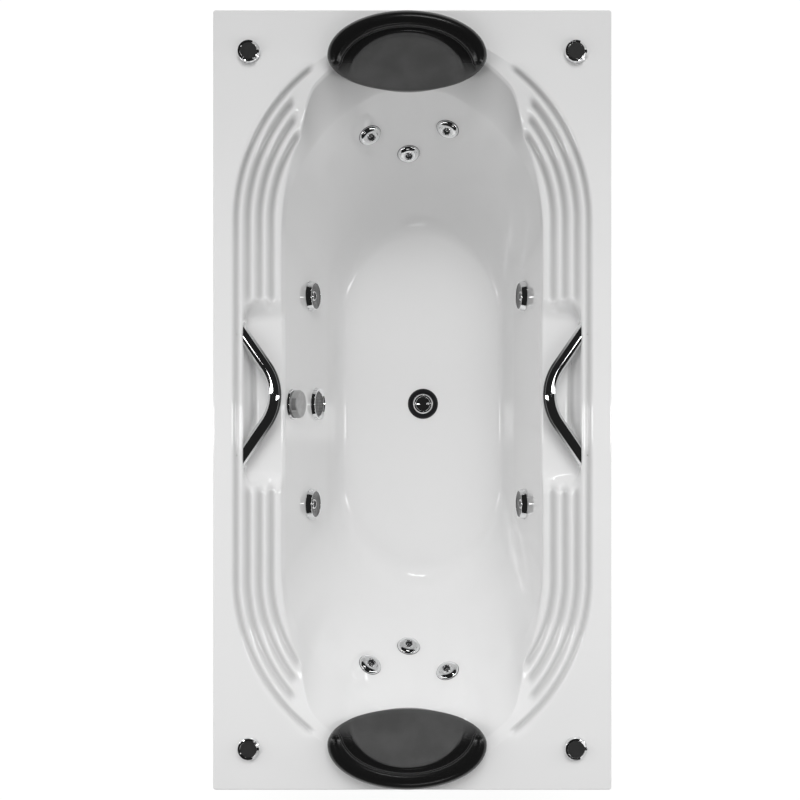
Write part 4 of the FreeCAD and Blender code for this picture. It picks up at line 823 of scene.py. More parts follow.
def soften(rings, kinds, passes):
    """Round the terrace's edge, the pockets and the crease."""
    rows = np.array([kind in ("terrace", "seat") for kind in kinds])
    for _ in range(passes):
        blurred = rings.copy()
        blurred[1:-1] = 0.25 * rings[:-2] + 0.5 * rings[1:-1] + 0.25 * rings[2:]
        rings[rows] = blurred[rows]


def painted_shade_share(rings, kinds, cuts, depth):
    """Painted shade: how much darker than the open faces the grooves, the head corners beside the pillows and
    the pocket walls are painted.
    """
    x, y = rings[:, :, 0], rings[:, :, 1]
    angle = off_side(x, y)
    share = cuts / depth * (0.27 + 0.2 * smooth(y, 300, 620))
    rows = np.array(rows_of(kinds, "seat"))
    # painted shade in the corner beside the head pillow
    wing = smooth(angle[rows], 66, 70) * (1 - smooth(angle[rows], 80, 88)) * (y[rows] > 0)
    share[rows] = np.maximum(share[rows], 0.26 * wing * np.linspace(1, 0.1, len(rows))[:, None])
    # painted shade on the pocket's crescent wall
    swell = crescent(y)
    wall = 1 - smooth(abs(abs(x) - POCKET_REACH + 14 + 6 * swell), 3, 11)
    terrace = np.array([kind == "terrace" for kind in kinds])[:, None]
    return np.maximum(share, 0.3 * swell * wall * terrace)


def flatten_seats(points):
    """Flat seats in the wall for the fittings' flanges."""
    seats = [(seat, BACK_RADIUS) for seat in BACK_SEATS] + [(seat, SIDE_RADIUS) for seat in SIDE_SEATS]
    seats += [(OVERFLOW_SEAT, OVERFLOW_RADIUS), (SUCTION_SEAT, SUCTION_RADIUS)]
    for (position, facing), covered in seats:
        radius = covered + SEAT_MARGIN
        arm = points - np.array(position)
        height = arm @ np.array(facing)
        away = np.linalg.norm(arm - height[:, None] * np.array(facing), axis=1)
        share = (1 - smooth(away, radius + 1.5, radius + 13)) * (abs(height) < 30)
        points -= (height * share)[:, None] * np.array(facing)


LIP_ROWS = 8    # rings of the lip and its rounded edge, which the underside leaves out


def shell_mesh(settings):
    """Closed shell: upper face, lip, underside and drain hole."""
    angles = columns(settings.columns)
    cosine, sine = np.cos(angles), np.sin(angles)
    rings, kinds = shell_rings(cosine, sine)
    sink_pockets(rings, kinds)
    soften(rings, kinds, 3)
    plain = rings.copy()
    cuts = np.zeros(rings.shape[:2])
    count = len(angles)
    for index in rows_of(kinds, "terrace"):
        x, y, _ = rings[index].T
        cuts[index] = rib_cut(x, y, settings.rib_depth / MM)
    rings[:, :, 2] -= cuts
    painted_shade = painted_shade_share(rings, kinds, cuts, settings.rib_depth / MM)
    flat = rings.reshape(-1, 3)
    flatten_seats(flat)
    rings = flat.reshape(rings.shape)
    across = np.roll(plain, -1, axis=1) - np.roll(plain, 1, axis=1)
    down = np.gradient(plain, axis=0)
    normal = np.cross(down, across)
    normal /= np.maximum(np.linalg.norm(normal, axis=2, keepdims=True), 1e-9)
    normal *= np.sign(normal[:, :, 2].mean())
    under = plain - normal * WALL
    under[:, :, 2] -= cuts
    inner = deck_reach(WALL, cosine, sine)
    low_rings = [np.column_stack([inner * cosine, inner * sine, np.zeros(count) + z])
                 for z in (RIM_HEIGHT - LIP_DROP, RIM_HEIGHT - 1.5 * WALL, RIM_HEIGHT - WALL)]
    low_rings += [under[index] for index in range(LIP_ROWS + 1, len(kinds), 3)]
    low_rings.append(drain_ring(cosine, sine, FLOOR_HEIGHT - WALL))
    stack = np.concatenate([rings, np.array(low_rings)[::-1]])
    vertices = (stack.reshape(-1, 3) * MM).tolist()
    top_rows = len(rings)
    total = len(stack)
    mesh = bpy.data.meshes.new("tub_shell_skin")
    mesh.from_pydata(vertices, [], quads([(row, (row + 1) % total) for row in range(total)], count))
    # painted shade of the grooves, head corners and pocket walls, kept for the acrylic's colour
    tone = mesh.attributes.new("painted_shade", "FLOAT", "POINT")
    tone.data.foreach_set("value", np.concatenate([painted_shade.ravel(), np.zeros(len(vertices) - painted_shade.size)]))
    for index, polygon in enumerate(mesh.polygons):
        polygon.material_index = 1 if top_rows <= index // count < total - 1 else 0
    work = bmesh.new()
    work.from_mesh(mesh)
    if work.calc_volume(signed=True) < 0:
        bmesh.ops.reverse_faces(work, faces=work.faces)
    for face in work.faces:
        face.smooth = True
    work.to_mesh(mesh)
    work.free()
    return mesh


# ---------------------------------------------------------------- pillows

PILLOW_X = -12.0
PILLOW_LINE = 789.0
PILLOW_HALF_WIDTH = 183.0
PILLOW_BACK, PILLOW_FRONT = 98.0, 76.0
DISH_HALF_WIDTH, DISH_HALF_LENGTH, DISH_FORWARD = 131.0, 90.0, 43.0
PILLOW_GAP = 0.5


def ellipse_reach(angle, centre, half_x, half_up, half_down, origin):
    """Distance from origin to an egg of two half ellipses, in each direction."""
    c, s = np.cos(angle), np.sin(angle)
    best = np.zeros(len(angle))
    for half_y, upper in ((half_up, True), (half_down, False)):
        ox, oy = origin[0] - centre[0], origin[1] - centre[1]
        a = (c / half_x) ** 2 + (s / half_y) ** 2
        b = 2 * (c * ox / half_x ** 2 + s * oy / half_y ** 2)
        k = (ox / half_x) ** 2 + (oy / half_y) ** 2 - 1
        reach = (-b + np.sqrt(np.maximum(b * b - 4 * a * k, 0))) / (2 * a)
        y = oy + reach * s
        best = np.where((y >= 0) == upper, reach, best)
    return best


def dish_share(u, v):
    """1 on the outline of the pillow's dish, and less inside it."""
    return np.hypot(u / DISH_HALF_WIDTH, (v + DISH_FORWARD) / DISH_HALF_LENGTH)


def face_height(u, v, dish):
    """The pillow's sloping face, with the dish for the head."""
    inside = dish_share(u, v)
    step = 1 - smooth(inside, 0.95, 1.0)
    lip = np.exp(-((inside - 1.025) / 0.028) ** 2) * 2.0 * smooth(v, -60, -30)
    crown = 3.0 * (1 - (u / PILLOW_HALF_WIDTH) ** 2)
    return 603 + 0.29 * v + crown - dish * step * smooth(v, -75, -20) + lip


def pillow_mesh(name, end, settings, ground):
    """A pillow with a roll round its back, a dished face, drawn-in sides and a bottom that fits the seat."""
    count = 160
    origin = (0.0, -13.0)
    angle = np.arange(count) * 2 * np.pi / count
    c, s = np.cos(angle), np.sin(angle)
    outer = ellipse_reach(angle, (0, 0), PILLOW_HALF_WIDTH, PILLOW_BACK, PILLOW_FRONT, origin)
    crease = ellipse_reach(angle, (0, -32), 152, 91, 91, origin)
    signed = np.where(angle > np.pi, angle - 2 * np.pi, angle)
    off_back = np.degrees(np.minimum(abs(signed), abs(np.pi - abs(signed)))) * np.where(signed < 0, -1, 1)
    roll = smooth(off_back, -8.0, -2.5)
    inner = np.where(roll > 0, crease * roll + (outer - 7) * (1 - roll), outer - 7)
    width = outer - inner
    height = settings.roll_height / MM
    dish = settings.dish_depth / MM
    rows, gloss = [], []

    def spots(reach):
        return origin[0] + reach * c, origin[1] + reach * s

    def put(reach, z, shine):
        rows.append(np.column_stack([*spots(reach), np.zeros(count) + z]))
        gloss.append(np.zeros(count) + shine)

    def seat_height(reach):
        floor = [ground(PILLOW_X + u, end * (PILLOW_LINE + v)) for u, v in zip(*spots(reach))]
        return np.array(floor) + PILLOW_GAP

    for share in np.concatenate([np.linspace(0.03, 0.9, 34), np.linspace(0.92, 1.0, 8)]):
        u, v = spots(inner * share)
        band = smooth(dish_share(u, v), 0.985, 1.01) * smooth(v, -55, 0)
        put(inner * share, face_height(u, v, dish), band)
    crease_z = face_height(*spots(inner), dish)
    for step in np.linspace(0, 1, 19)[1:]:
        turn = np.pi * (1 - step * 1.12)
        across = inner + width * (0.5 + 0.5 * math.cos(turn))
        arch = math.sin(turn) * np.where(roll > 0.01, height * roll, 0)
        lift = arch + math.sin(step * np.pi) * 1.5 * (1 - roll)
        sag = 4.0 * step ** 2
        shine = np.clip(roll * smooth(step, 0.0, 0.1), 0, 1)
        put(across, crease_z + lift - sag - 5.0 * step * (1 - roll), shine)
    rim_z = rows[-1][:, 2].copy()
    base = seat_height(across)
    front = smooth(-np.sin(angle), -0.2, 0.6)
    for share, grow in ((0.2, 1.0), (0.45, 1.002), (0.7, 0.998), (0.88, 0.985), (0.97, 0.965), (1.0, 0.94)):
        reach = outer * (grow - 0.22 * share * front)
        put(reach, rim_z + (np.minimum(seat_height(reach), base + 40) - rim_z) * share, roll * 0.9)
    for share in (0.7, 0.5, 0.3, 0.05):
        put(outer * share, seat_height(outer * share), 0.0)
    stack = np.array(rows)
    total = len(rows)
    points = stack.reshape(-1, 3)
    place = np.column_stack([PILLOW_X + points[:, 0], end * (PILLOW_LINE + points[:, 1]), points[:, 2]]) * MM
    vertices = place.tolist()
    faces = quads([(row, row + 1) for row in range(total - 1)], count)
    for row in (0, total - 1):
        vertices.append(np.mean(place[row * count:(row + 1) * count], axis=0).tolist())
        hub = len(vertices) - 1
        faces += [(row * count + column, row * count + (column + 1) % count, hub) for column in range(count)]
    mesh = closed_mesh(name, vertices, faces)
    shine = mesh.attributes.new("roll", "FLOAT", "POINT")
    values = np.concatenate([np.concatenate(gloss), [0, 0]]).astype(np.float32)
    shine.data.foreach_set("value", values)
    return mesh


# ---------------------------------------------------------------- operators

MATERIALS = {}
SHARED = {}


def dress(thing, body, slot, *nodes):
    """A finished piece rides on its body and stands for its nodes, which it hides; the slot is not used."""
    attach(thing, body)
    if nodes:
        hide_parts(*nodes)
    return thing


class TUB_OT_stage(Operator):
    """Camera, lamps, floor and surroundings"""
    bl_idname = "tub.stage"
    bl_label = "Stage"

    def execute(self, context):
        settings = context.scene.tub_stage
        camera = bpy.data.cameras.new("camera")
        camera.lens = settings.lens
        camera.sensor_width = 36
        camera.clip_end = 50
        viewer = bpy.data.objects.new("camera", camera)
        viewer.location = (settings.camera_x, 0, settings.camera_height)
        context.scene.collection.objects.link(viewer)
        context.scene.camera = viewer
        self.floor()
        self.lamps(context, settings)
        self.world(context, settings)
        context.scene.view_settings.view_transform = "Standard"
        return {"FINISHED"}

    def floor(self):
        mesh = bpy.data.meshes.new("floor")
        work = bmesh.new()
        bmesh.ops.create_circle(work, cap_ends=True, radius=12, segments=96)
        work.to_mesh(mesh)
        work.free()
        material, tree = new_material("floor_white")
        paper = tree.add("ShaderNodeBsdfDiffuse", None, {"Color": (0.9, 0.9, 0.9, 1)})
        white = tree.add("ShaderNodeEmission", None, {"Color": (1, 1, 1, 1), "Strength": 1.08})
        ray = tree.add("ShaderNodeLightPath").outputs
        seen = Value(tree, ray["Is Camera Ray"]) + Value(tree, ray["Is Glossy Ray"]) + Value(
            tree, ray["Is Transmission Ray"])
        mix = tree.add("ShaderNodeMixShader", None, {
            0: seen.maths("MINIMUM", seen, 1.0) * 0.85, 1: paper.outputs[0], 2: white.outputs[0]})
        tree.add("ShaderNodeOutputMaterial", None, {"Surface": mix.outputs[0]})
        new_object("floor", mesh, material)

    def lamps(self, context, settings):
        def softbox(name, place, aim, size, power, in_chrome):
            lamp = bpy.data.lights.new(name, "AREA")
            lamp.shape = "RECTANGLE"
            lamp.size, lamp.size_y = size
            lamp.energy = power
            thing = bpy.data.objects.new(name, lamp)
            thing.location = place
            thing.rotation_euler = (Vector(aim) - Vector(place)).to_track_quat("-Z", "Y").to_euler()
            thing.visible_camera = False
            thing.visible_glossy = in_chrome
            context.scene.collection.objects.link(thing)

        key = bpy.data.lights.new("key", "SUN")
        key.energy = settings.key_light
        key.angle = math.radians(40)
        far = bpy.data.objects.new("key", key)
        far.rotation_euler = (-settings.key_lean, 0, 0)
        far.visible_glossy = False
        context.scene.collection.objects.link(far)
        softbox("softbox_foot", (0, -0.65, 2.2), (0, -0.65, 0.5), (1.4, 0.8), settings.foot_light, False)
        for name, side in (("strip_left", -1), ("strip_right", 1)):
            place, aim, power = (side * 1.75, -0.1, 1.6), (0, -0.1, 0.5), settings.side_light * 0.5
            softbox(name, place, aim, (0.16, 2.6), power, True)
            softbox(f"{name}_soft", place, aim, (0.6, 2.6), power, False)
        for name, end, share in (("window_head", 1, 1.0), ("window_foot", -1, 0.4)):
            softbox(name, (0.35, end * 2.2, 2.4), (0, 0, 0.5), (0.8, 0.25), settings.end_light * share, True)

    def world(self, context, settings):
        world = bpy.data.worlds.new("studio")
        context.scene.world = world
        tree = Tree(world)
        up = tree.add("ShaderNodeSeparateXYZ", None, {
            "Vector": tree.add("ShaderNodeTexCoord").outputs["Generated"]}).outputs["Z"]
        ceiling = Value(tree, up).ramp(0.0, 0.16)
        ray = tree.add("ShaderNodeLightPath").outputs
        glossy = Value(tree, ray["Is Glossy Ray"])
        camera = Value(tree, ray["Is Camera Ray"]) + Value(tree, ray["Is Transmission Ray"])
        seen = glossy * (1.0 - ceiling * 0.985) + camera
        hidden = (1.0 - glossy.maths("MINIMUM", glossy + camera, 1.0)) * settings.fill
        back = tree.add("ShaderNodeBackground", None, {"Color": (1, 1, 1, 1), "Strength": seen + hidden})
        tree.add("ShaderNodeOutputWorld", None, {"Surface": back.outputs[0]})


class TUB_OT_finishes(Operator):
    """Materials of every slot, given to the CAD's own nodes"""
    bl_idname = "tub.finishes"
    bl_label = "Finishes"

    def execute(self, context):
        shell = context.scene.tub_shell
        fittings = context.scene.tub_fittings
        MATERIALS.update(
            shell=acrylic("shell_acrylic", tuple(shell.colour)),
            laminate=laminate("shell_laminate"),
            board=chipboard("board_chips", (0.55, 0.42, 0.28)),
            frame_paint=powder_coat("frame_powder_coat", (0.16, 0.17, 0.18)),
            zinc=plated("zinc_plating", (0.62, 0.62, 0.60)),
            pillow=skin("pillow_skin", tuple(context.scene.tub_pillows.colour)),
            handle_chrome=bar_chrome("handle_chrome", tuple(fittings.chrome)),
            fitting_chrome=chrome("fitting_chrome", tuple(fittings.chrome), 0.05),
            satin=satin("satin_chrome", (0.46, 0.46, 0.46)),
            grille=satin("grille_satin", (0.24, 0.24, 0.24)),
            smoked=satin("smoked_satin", (0.045, 0.045, 0.045)),
            fitting_plastic=moulded("fitting_plastic", (0.62, 0.62, 0.60)),
            drain_black=moulded("drain_black", (0.012, 0.012, 0.013), 0.28),
            pipe=moulded("pipe_plastic", (0.70, 0.70, 0.68), 0.3),
            hose=moulded("hose_plastic", (0.30, 0.31, 0.32), 0.45),
            pump_plastic=moulded("pump_plastic", (0.028, 0.03, 0.032), 0.42),
            motor_paint=powder_coat("motor_paint", (0.07, 0.11, 0.16)),
        )
        for record in frame["record"]["subparts"]:
            node = frame["nodes"].get(record["node"])
            slot = record["material_slot"]
            if node is not None and slot in MATERIALS:
                node.data.materials.clear()
                node.data.materials.append(MATERIALS[slot])
        return {"FINISHED"}


class TUB_OT_shell(Operator):
    """The moulded shell with its terrace, pockets and seats"""
    bl_idname = "tub.shell"
    bl_label = "Shell"

    def execute(self, context):
        mesh = shell_mesh(context.scene.tub_shell)
        thing = new_object("tub_shell_skin", mesh, MATERIALS["shell"])
        mesh.materials.append(MATERIALS["laminate"])
        dress(thing, "tub", "shell", "tub_shell")
        SHARED["shell"] = BVHTree.FromObject(thing, context.evaluated_depsgraph_get())
        return {"FINISHED"}


def shell_height(x, y):
    """Height of the shell's upper face in millimetres at a place in millimetres."""
    hit = SHARED["shell"].ray_cast(Vector((x * MM, y * MM, 1.0)), Vector((0, 0, -1)))
    return hit[0].z / MM if hit[0] is not None else RIM_HEIGHT


class TUB_OT_pillows(Operator):
    """The two head pillows"""
    bl_idname = "tub.pillows"
    bl_label = "Pillows"

    def execute(self, context):
        for name, end in (("pillow_head", 1), ("pillow_foot", -1)):
            mesh = pillow_mesh(f"{name}_skin", end, context.scene.tub_pillows, shell_height)
            thing = new_object(f"{name}_skin", mesh, MATERIALS["pillow"])
            dress(thing, "tub", "pillow", name)
        return {"FINISHED"}


class TUB_OT_handles(Operator):
    """The two grab handles, bent from bar"""
    bl_idname = "tub.handles"
    bl_label = "Handles"

    def execute(self, context):
        settings = context.scene.tub_fittings
        height = RIM_HEIGHT - HANDLE_DROP
        apex = POCKET_REACH - HANDLE_HALF_SPAN * math.tan(HANDLE_LEAN)
        half = HANDLE_HALF_SPAN + BAR_SPARE / math.tan(HANDLE_LEAN)
        for name, side in (("handle_left", -1), ("handle_right", 1)):
            outer = side * (POCKET_REACH + BAR_SPARE)
            corners = [(outer, HANDLE_LINE + half, height), (side * apex, HANDLE_LINE, height),
                       (outer, HANDLE_LINE - half, height)]
            mesh = bpy.data.meshes.new(f"{name}_line")
            mesh.from_pydata([Vector(corner) * MM for corner in corners], [(0, 1), (1, 2)], [])
            line = new_object(f"{name}_line", mesh)
            bow = made_by_nodes(line, bow_tree(), {
                "Bar radius": settings.bar_radius, "Bend radius": settings.bend_radius,
                "Material": MATERIALS["handle_chrome"]}, f"{name}_bow", MATERIALS["handle_chrome"])
            self.trim(bow.data, side)
            self.painted_dark_reflection(bow.data, side)
            dress(bow, "tub", "handle_chrome", name)
        return {"FINISHED"}

    def trim(self, mesh, side):
        """Cut the bar's ends flat where they meet the pocket's wall."""
        work = bmesh.new()
        work.from_mesh(mesh)
        bmesh.ops.remove_doubles(work, verts=work.verts, dist=0.00001)
        wall = Vector((side * (POCKET_REACH - 0.1) * MM, 0, 0))
        cut = bmesh.ops.bisect_plane(work, geom=work.verts[:] + work.edges[:] + work.faces[:], plane_co=wall,
                                     plane_no=Vector((side, 0, 0)), clear_outer=True)
        rim = [item for item in cut["geom_cut"] if isinstance(item, bmesh.types.BMEdge)]
        bmesh.ops.holes_fill(work, edges=rim)
        bmesh.ops.recalc_face_normals(work, faces=work.faces)
        for face in work.faces:
            face.smooth = len(face.verts) <= 4
        for edge in work.edges:
            if any(len(face.verts) > 4 for face in edge.link_faces):
                edge.smooth = False
        work.to_mesh(mesh)
        work.free()

    def painted_dark_reflection(self, mesh, side):
        """Share of the painted dark reflection on the bather's side of the bar, kept as an attribute."""
        tone = mesh.attributes.new("painted_dark_reflection", "FLOAT", "POINT")
        for item, vertex in zip(tone.data, mesh.vertices):
            normal = vertex.normal
            towards = -side * normal.x
            item.value = float(smooth(towards, 0.15, 0.5) * (1 - smooth(abs(normal.z), 0.62, 0.8)))


def jet_ring(name, radius, height, opening, flange, seat, material):
    """Domed cover of a jet with a rolled opening in its middle."""
    brim, middle, under, steps = 1.2, opening + 1.6, 3.8, 12
    dome = [(radius, 0), (radius, brim)]
    for step in range(1, steps + 1):
        turn = math.pi / 2 * step / steps
        dome.append((middle + (radius - middle) * math.cos(turn) ** 0.8,
                     brim + (height - brim) * math.sin(turn)))
    dome += [(opening + 0.5, height - 0.5), (opening, height - 1.6), (opening, under), (flange, under),
             (flange, 0)]
    return turned(name, dome, seat, material, 72)


def nozzle(name, ball, front, bore, seat, shine, dark):
    """Ball nozzle: polished ball, flat collar and a dark water way."""
    low, steps = 0.25 * ball, 16
    start, stop = math.asin(low / ball), math.asin(front / ball)
    outline = [(0, low)]
    for step in range(steps + 1):
        turn = start + (stop - start) * step / steps
        outline.append((ball * math.cos(turn), ball * math.sin(turn)))
    outline += [(ball * math.cos(stop) - 0.4, front + 0.15), (bore * 1.35, front + 0.15),
                (bore * 1.25, front - 0.5), (bore, front - 5), (0, front - 5)]
    body = turned(name, outline, seat, shine, 56)
    throat = turned(f"{name}_throat", [
        (0, front - 4.8), (bore * 0.9, front - 4.8), (bore * 1.27, front - 0.2), (bore * 1.2, front - 0.1),
        (bore * 0.7, front - 3.4), (0, front - 3.4)], seat, dark, 48)
    ring = turned(f"{name}_ring", [
        (bore * 0.42, front - 3.5), (bore * 0.56, front - 3.5), (bore * 0.56, front - 2.4, 0.2),
        (bore * 0.42, front - 2.4, 0.2)], seat, shine, 32)
    return joined(name, [body, throat, ring])


class TUB_OT_back_jets(Operator):
    """Six small jets in the backrests"""
    bl_idname = "tub.back_jets"
    bl_label = "Back jets"

    def execute(self, context):
        shine, dark = MATERIALS["fitting_chrome"], MATERIALS["drain_black"]
        ring = jet_ring("back_ring_piece", BACK_RADIUS, 8.5, 10.2, 24.4, Matrix(), shine)
        rings = spread("back_jet_covers", ring, BACK_SEATS, shine)
        # painted shadow: a thin dark ring round each cover's foot stands for the shadow line under its edge
        painted_shadow_ring = turned("back_jet_gap", [(26, 0.05), (28.3, 0.05), (28.3, 0.7, 0.2), (26, 0.7)],
                     Matrix(), dark, 64)
        painted_shadow_rings = spread("back_jet_gaps", painted_shadow_ring, BACK_SEATS, dark)
        dress(joined("back_jet_covers", [rings, painted_shadow_rings]), "tub", "fitting_chrome", "back_jet_rings")
        for number, (position, facing) in enumerate(BACK_SEATS, 1):
            ball = nozzle(f"back_nozzle_ball_{number}", 12.4, 8.6, 6.6, seat_matrix(position, facing),
                          shine, dark)
            dress(ball, f"back_nozzle_{number}", "fitting_chrome", f"back_jet_nozzle_{number}")
        return {"FINISHED"}


class TUB_OT_side_jets(Operator):
    """Four large jets in the side walls, with turning faces"""
    bl_idname = "tub.side_jets"
    bl_label = "Side jets"

    def execute(self, context):
        shine, dark = MATERIALS["fitting_chrome"], MATERIALS["drain_black"]
        for number, (position, facing) in enumerate(SIDE_SEATS, 1):
            seat = seat_matrix(position, facing)
            face = turned(f"side_face_dish_{number}", [
                (34.5, 0.4), (38, 0.4, 0.4), (38, 2, 1), (33.4, 17, 1.5), (31.5, 14.5, 0.5), (31.5, 4.2),
                (34.5, 4.2, 0.3)], seat, shine, 72)
            dish = turned(f"side_face_rings_{number}", [
                (14.4, 4.2, 0.3), (32, 4.2), (32, 13), (29.5, 12.2, 0.8), (28, 13.6, 0.8), (26.5, 11.5, 0.8),
                (25, 12.6, 0.8), (23.5, 10.6, 0.8), (22, 11.6, 0.8), (20.5, 9.6, 0.8), (17, 11.6, 1.4),
                (14.4, 10.4, 0.8)], seat, MATERIALS["grille"], 72)
            dress(joined(f"side_face_dish_{number}", [face, dish]), f"side_face_{number}", "fitting_chrome",
                  f"side_jet_face_{number}")
            ball = nozzle(f"side_nozzle_ball_{number}", 15.9, 11.6, 7, seat, shine, dark)
            dress(ball, f"side_nozzle_{number}", "fitting_chrome", f"side_jet_nozzle_{number}")
        return {"FINISHED"}


class TUB_OT_controls(Operator):
    """Three air controls and the start button on the deck"""
    bl_idname = "tub.controls"
    bl_label = "Controls"

    def execute(self, context):
        shine = MATERIALS["fitting_chrome"]
        rim = [(26.5, 0.4, 0.2), (26.5, 9, 2.5), (24.8, 13.2, 1.5), (22.0, 14.2, 0.8), (19.8, 14.0, 0.4),
               (19, 13.2, 0.3)]
        for number, (position, facing) in enumerate(CONTROL_SEATS[:3], 1):
            seat = seat_matrix(position, facing)
            cap = turned(f"air_knob_cap_{number}", [(0, 9.4), (22.4, 9.4), (22.4, 0.4), *rim, (0, 13.2)],
                         seat, shine, 144)
            self.scoop(cap.data, position)
            disc = turned(f"air_knob_disc_{number}", [(0, 13), (18.6, 13), (18.6, 13.4, 0.2), (0, 13.4)],
                          seat, MATERIALS["smoked"], 72)
            cap = joined(f"air_knob_cap_{number}", [cap, disc])
            dress(cap, f"air_knob_{number}", "fitting_chrome", f"air_knob_{number}")
        seat = seat_matrix(*CONTROL_SEATS[3])
        bezel = turned("start_bezel_ring", [
            (15, -55), (15, -0.2), (26.5, 0.2), *rim[1:5], (19.1, 13.4), (19.1, 3), (12, 3), (12, -55)],
            seat, shine, 144)
        self.scoop(bezel.data, CONTROL_SEATS[3][0])
        dress(bezel, "tub", "fitting_chrome", "start_bezel")
        button = turned("start_button_cap", [(0, 7.4), (18.8, 7.4, 0.3), (18.8, 13.0, 0.6), (0, 13.0)],
                        seat, MATERIALS["smoked"], 96)
        dress(button, "start_button", "fitting_chrome", "start_button")
        return {"FINISHED"}

    def scoop(self, mesh, position):
        """Two finger scoops in the cap's edge, which leave a pointer between them."""
        head = 1 if position[1] > 0 else -1
        for vertex in mesh.vertices:
            arm = vertex.co / MM - Vector(position)
            reach, height = math.hypot(arm.x, arm.y), arm.z
            turn = math.degrees(math.atan2(arm.y * head, arm.x))
            large = smooth(turn, 6, 12) * (1 - smooth(turn, 58, 66))
            small = smooth(-turn, 12, 18) * (1 - smooth(-turn, 50, 58))
            if height > 6 and reach > 19.3:
                slope = 13.6 - (reach - 19.3) * 1.25
                vertex.co.z += min(slope - height, 0) * max(large, 0.9 * small) * MM


class TUB_OT_wall_fittings(Operator):
    """Overflow filler and suction cover in the left wall"""
    bl_idname = "tub.wall_fittings"
    bl_label = "Overflow and suction"

    def execute(self, context):
        shine, dark = MATERIALS["fitting_chrome"], MATERIALS["drain_black"]
        seat = seat_matrix(*OVERFLOW_SEAT)
        ring = turned("overflow_ring_dome", [
            (30, 0.1), (37, 0.1, 0.2), (37, 1, 0.5), (35.4, 6, 0.8), (33.5, 6.4, 0.8), (30, 5, 0.8)],
            seat, shine, 96)
        dress(ring, "tub", "fitting_chrome", "overflow_ring")
        cap = turned("overflow_cap_shell", [
            (0, -24.6), (8, -24.6, 0.5), (8, 5.8, 0.5), (27, 5.8, 0.5), (30.5, 6.2, 1), (33, 8.5, 1.5),
            *[(33, height) for height in (10, 12, 14, 16, 18, 19.5)], (30, 24, 2), (0, 24)],
            seat, MATERIALS["satin"], 144)
        self.window(cap.data, seat)
        dress(cap, "overflow_cap", "fitting_chrome", "overflow_cap")
        seat = seat_matrix(*SUCTION_SEAT)
        cover = turned("suction_cover_dome", [
            (31, 0.1), (41, 0.1, 0.2), (41, 1.2, 0.6), (38.4, 9.5, 1), (35.5, 10, 0.8), (33.2, 7.2, 0.4),
            (31, 6.2)],
            seat, shine, 96)
        face = turned("suction_face", [(0, 3.5), (30, 3.5), (30, 0.1), (32, 0.1), (32, 6.2), (0, 6.2)],
                      seat, MATERIALS["grille"], 96)
        # painted shade: flat dark discs laid on the face stand for the shade inside its holes
        hole = turned("suction_hole", [(0, 6.15), (1.5, 6.15), (1.5, 6.26), (0, 6.26)], Matrix(), dark, 12)
        pitch, rows, field = 4.4, range(-9, 10), 31.5
        seats = []
        for row in rows:
            for column in rows:
                across, along = (column + 0.5 * (row % 2)) * pitch, row * pitch * 0.866
                if math.hypot(across, along) < field:
                    spot = seat @ Vector((across * MM, along * MM, 0))
                    seats.append((spot / MM, SUCTION_SEAT[1]))
        hole_shades = spread("suction_holes", hole, seats, dark)
        dress(joined("suction_cover_dome", [cover, face, hole_shades]), "tub", "fitting_chrome", "suction_cover")
        return {"FINISHED"}

    def window(self, mesh, seat):
        """Sunk outlet in the upper side of the cap."""
        back = seat.inverted()
        for vertex in mesh.vertices:
            here = back @ vertex.co / MM
            reach = math.hypot(here.x, here.y)
            if reach > 31 and 8 < here.z < 21 and here.x < 0 and abs(here.y) < 16.5:
                sunk = here.copy()
                sunk.x, sunk.y = here.x * (reach - 5) / reach, here.y * (reach - 5) / reach
                vertex.co = seat @ (sunk * MM)
        mesh.materials.append(MATERIALS["grille"])
        for polygon in mesh.polygons:
            here = back @ polygon.center / MM
            if math.hypot(here.x, here.y) < 29.5 and 8 < here.z < 20 and here.x < 0 and abs(here.y) < 17:
                polygon.material_index = 1


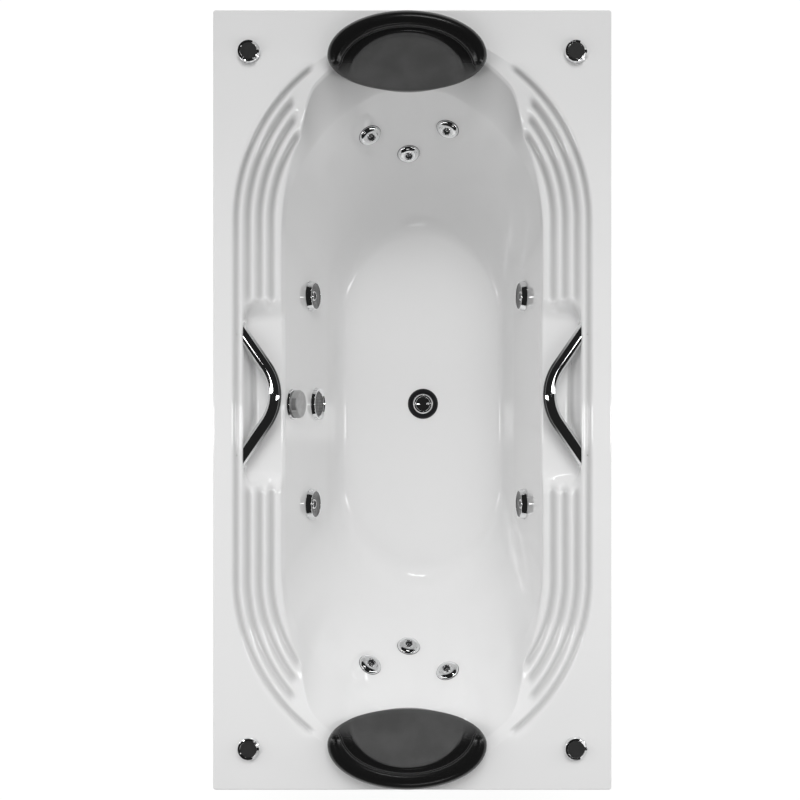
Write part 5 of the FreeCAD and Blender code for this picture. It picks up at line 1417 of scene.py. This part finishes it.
class TUB_OT_drain(Operator):
    """Drain flange and its domed plug"""
    bl_idname = "tub.drain"
    bl_label = "Drain"

    def execute(self, context):
        shine, dark = MATERIALS["fitting_chrome"], MATERIALS["drain_black"]
        seat = seat_matrix(*DRAIN_SEAT)
        flange = turned("drain_flange_ring", [
            (24, -0.2), (39.5, 0.1, 0.2), (39.5, 1.4, 0.7), (36, 4, 1.2), (28.5, 4, 1), (26.8, 1.6, 0.8),
            (21, 0.6, 0.5), (21, -56), (24, -56)], seat, dark, 96)
        dress(flange, "tub", "drain_black", "drain_flange")
        plug = turned("drain_plug_dome", [
            (0, -46), (3, -46, 0.5), (3, -1), (20, -1, 0.4), (20, 3), (25.8, 3, 0.3), (26, 6, 0.8),
            (23, 8.6, 1.5),
            (19.5, 9.0, 0.6), (18.6, 8.2, 0.4), (16, 8.6, 1.0), (9, 10.8, 4), (0, 11.6)], seat, shine, 96)
        dress(plug, "drain_plug", "fitting_chrome", "drain_plug")
        return {"FINISHED"}


class TUB_PT_panel(Panel):
    """Steps that dress the tub"""
    bl_label = "Bathtub"
    bl_idname = "TUB_PT_panel"
    bl_space_type = "VIEW_3D"
    bl_region_type = "UI"
    bl_category = "Bathtub"

    def draw(self, context):
        for step in STEPS:
            self.layout.operator(step.bl_idname)
        for group in ("tub_stage", "tub_shell", "tub_pillows", "tub_fittings"):
            settings = getattr(context.scene, group)
            for name in settings.__annotations__:
                self.layout.prop(settings, name)


STEPS = (TUB_OT_stage, TUB_OT_finishes, TUB_OT_shell, TUB_OT_pillows, TUB_OT_handles, TUB_OT_back_jets,
         TUB_OT_side_jets, TUB_OT_controls, TUB_OT_wall_fittings, TUB_OT_drain)
SETTINGS = {"tub_stage": TubStageSettings, "tub_shell": TubShellSettings, "tub_pillows": TubPillowSettings,
            "tub_fittings": TubFittingSettings}


def register():
    for item in (*SETTINGS.values(), *STEPS, TUB_PT_panel):
        bpy.utils.register_class(item)
    for name, item in SETTINGS.items():
        setattr(bpy.types.Scene, name, PointerProperty(type=item))


def unregister():
    for name in SETTINGS:
        delattr(bpy.types.Scene, name)
    for item in reversed((*SETTINGS.values(), *STEPS, TUB_PT_panel)):
        bpy.utils.unregister_class(item)


def main():
    register()
    for step in STEPS:
        getattr(bpy.ops.tub, step.bl_idname.split(".")[1])()


if __name__ == "__main__":
    main()
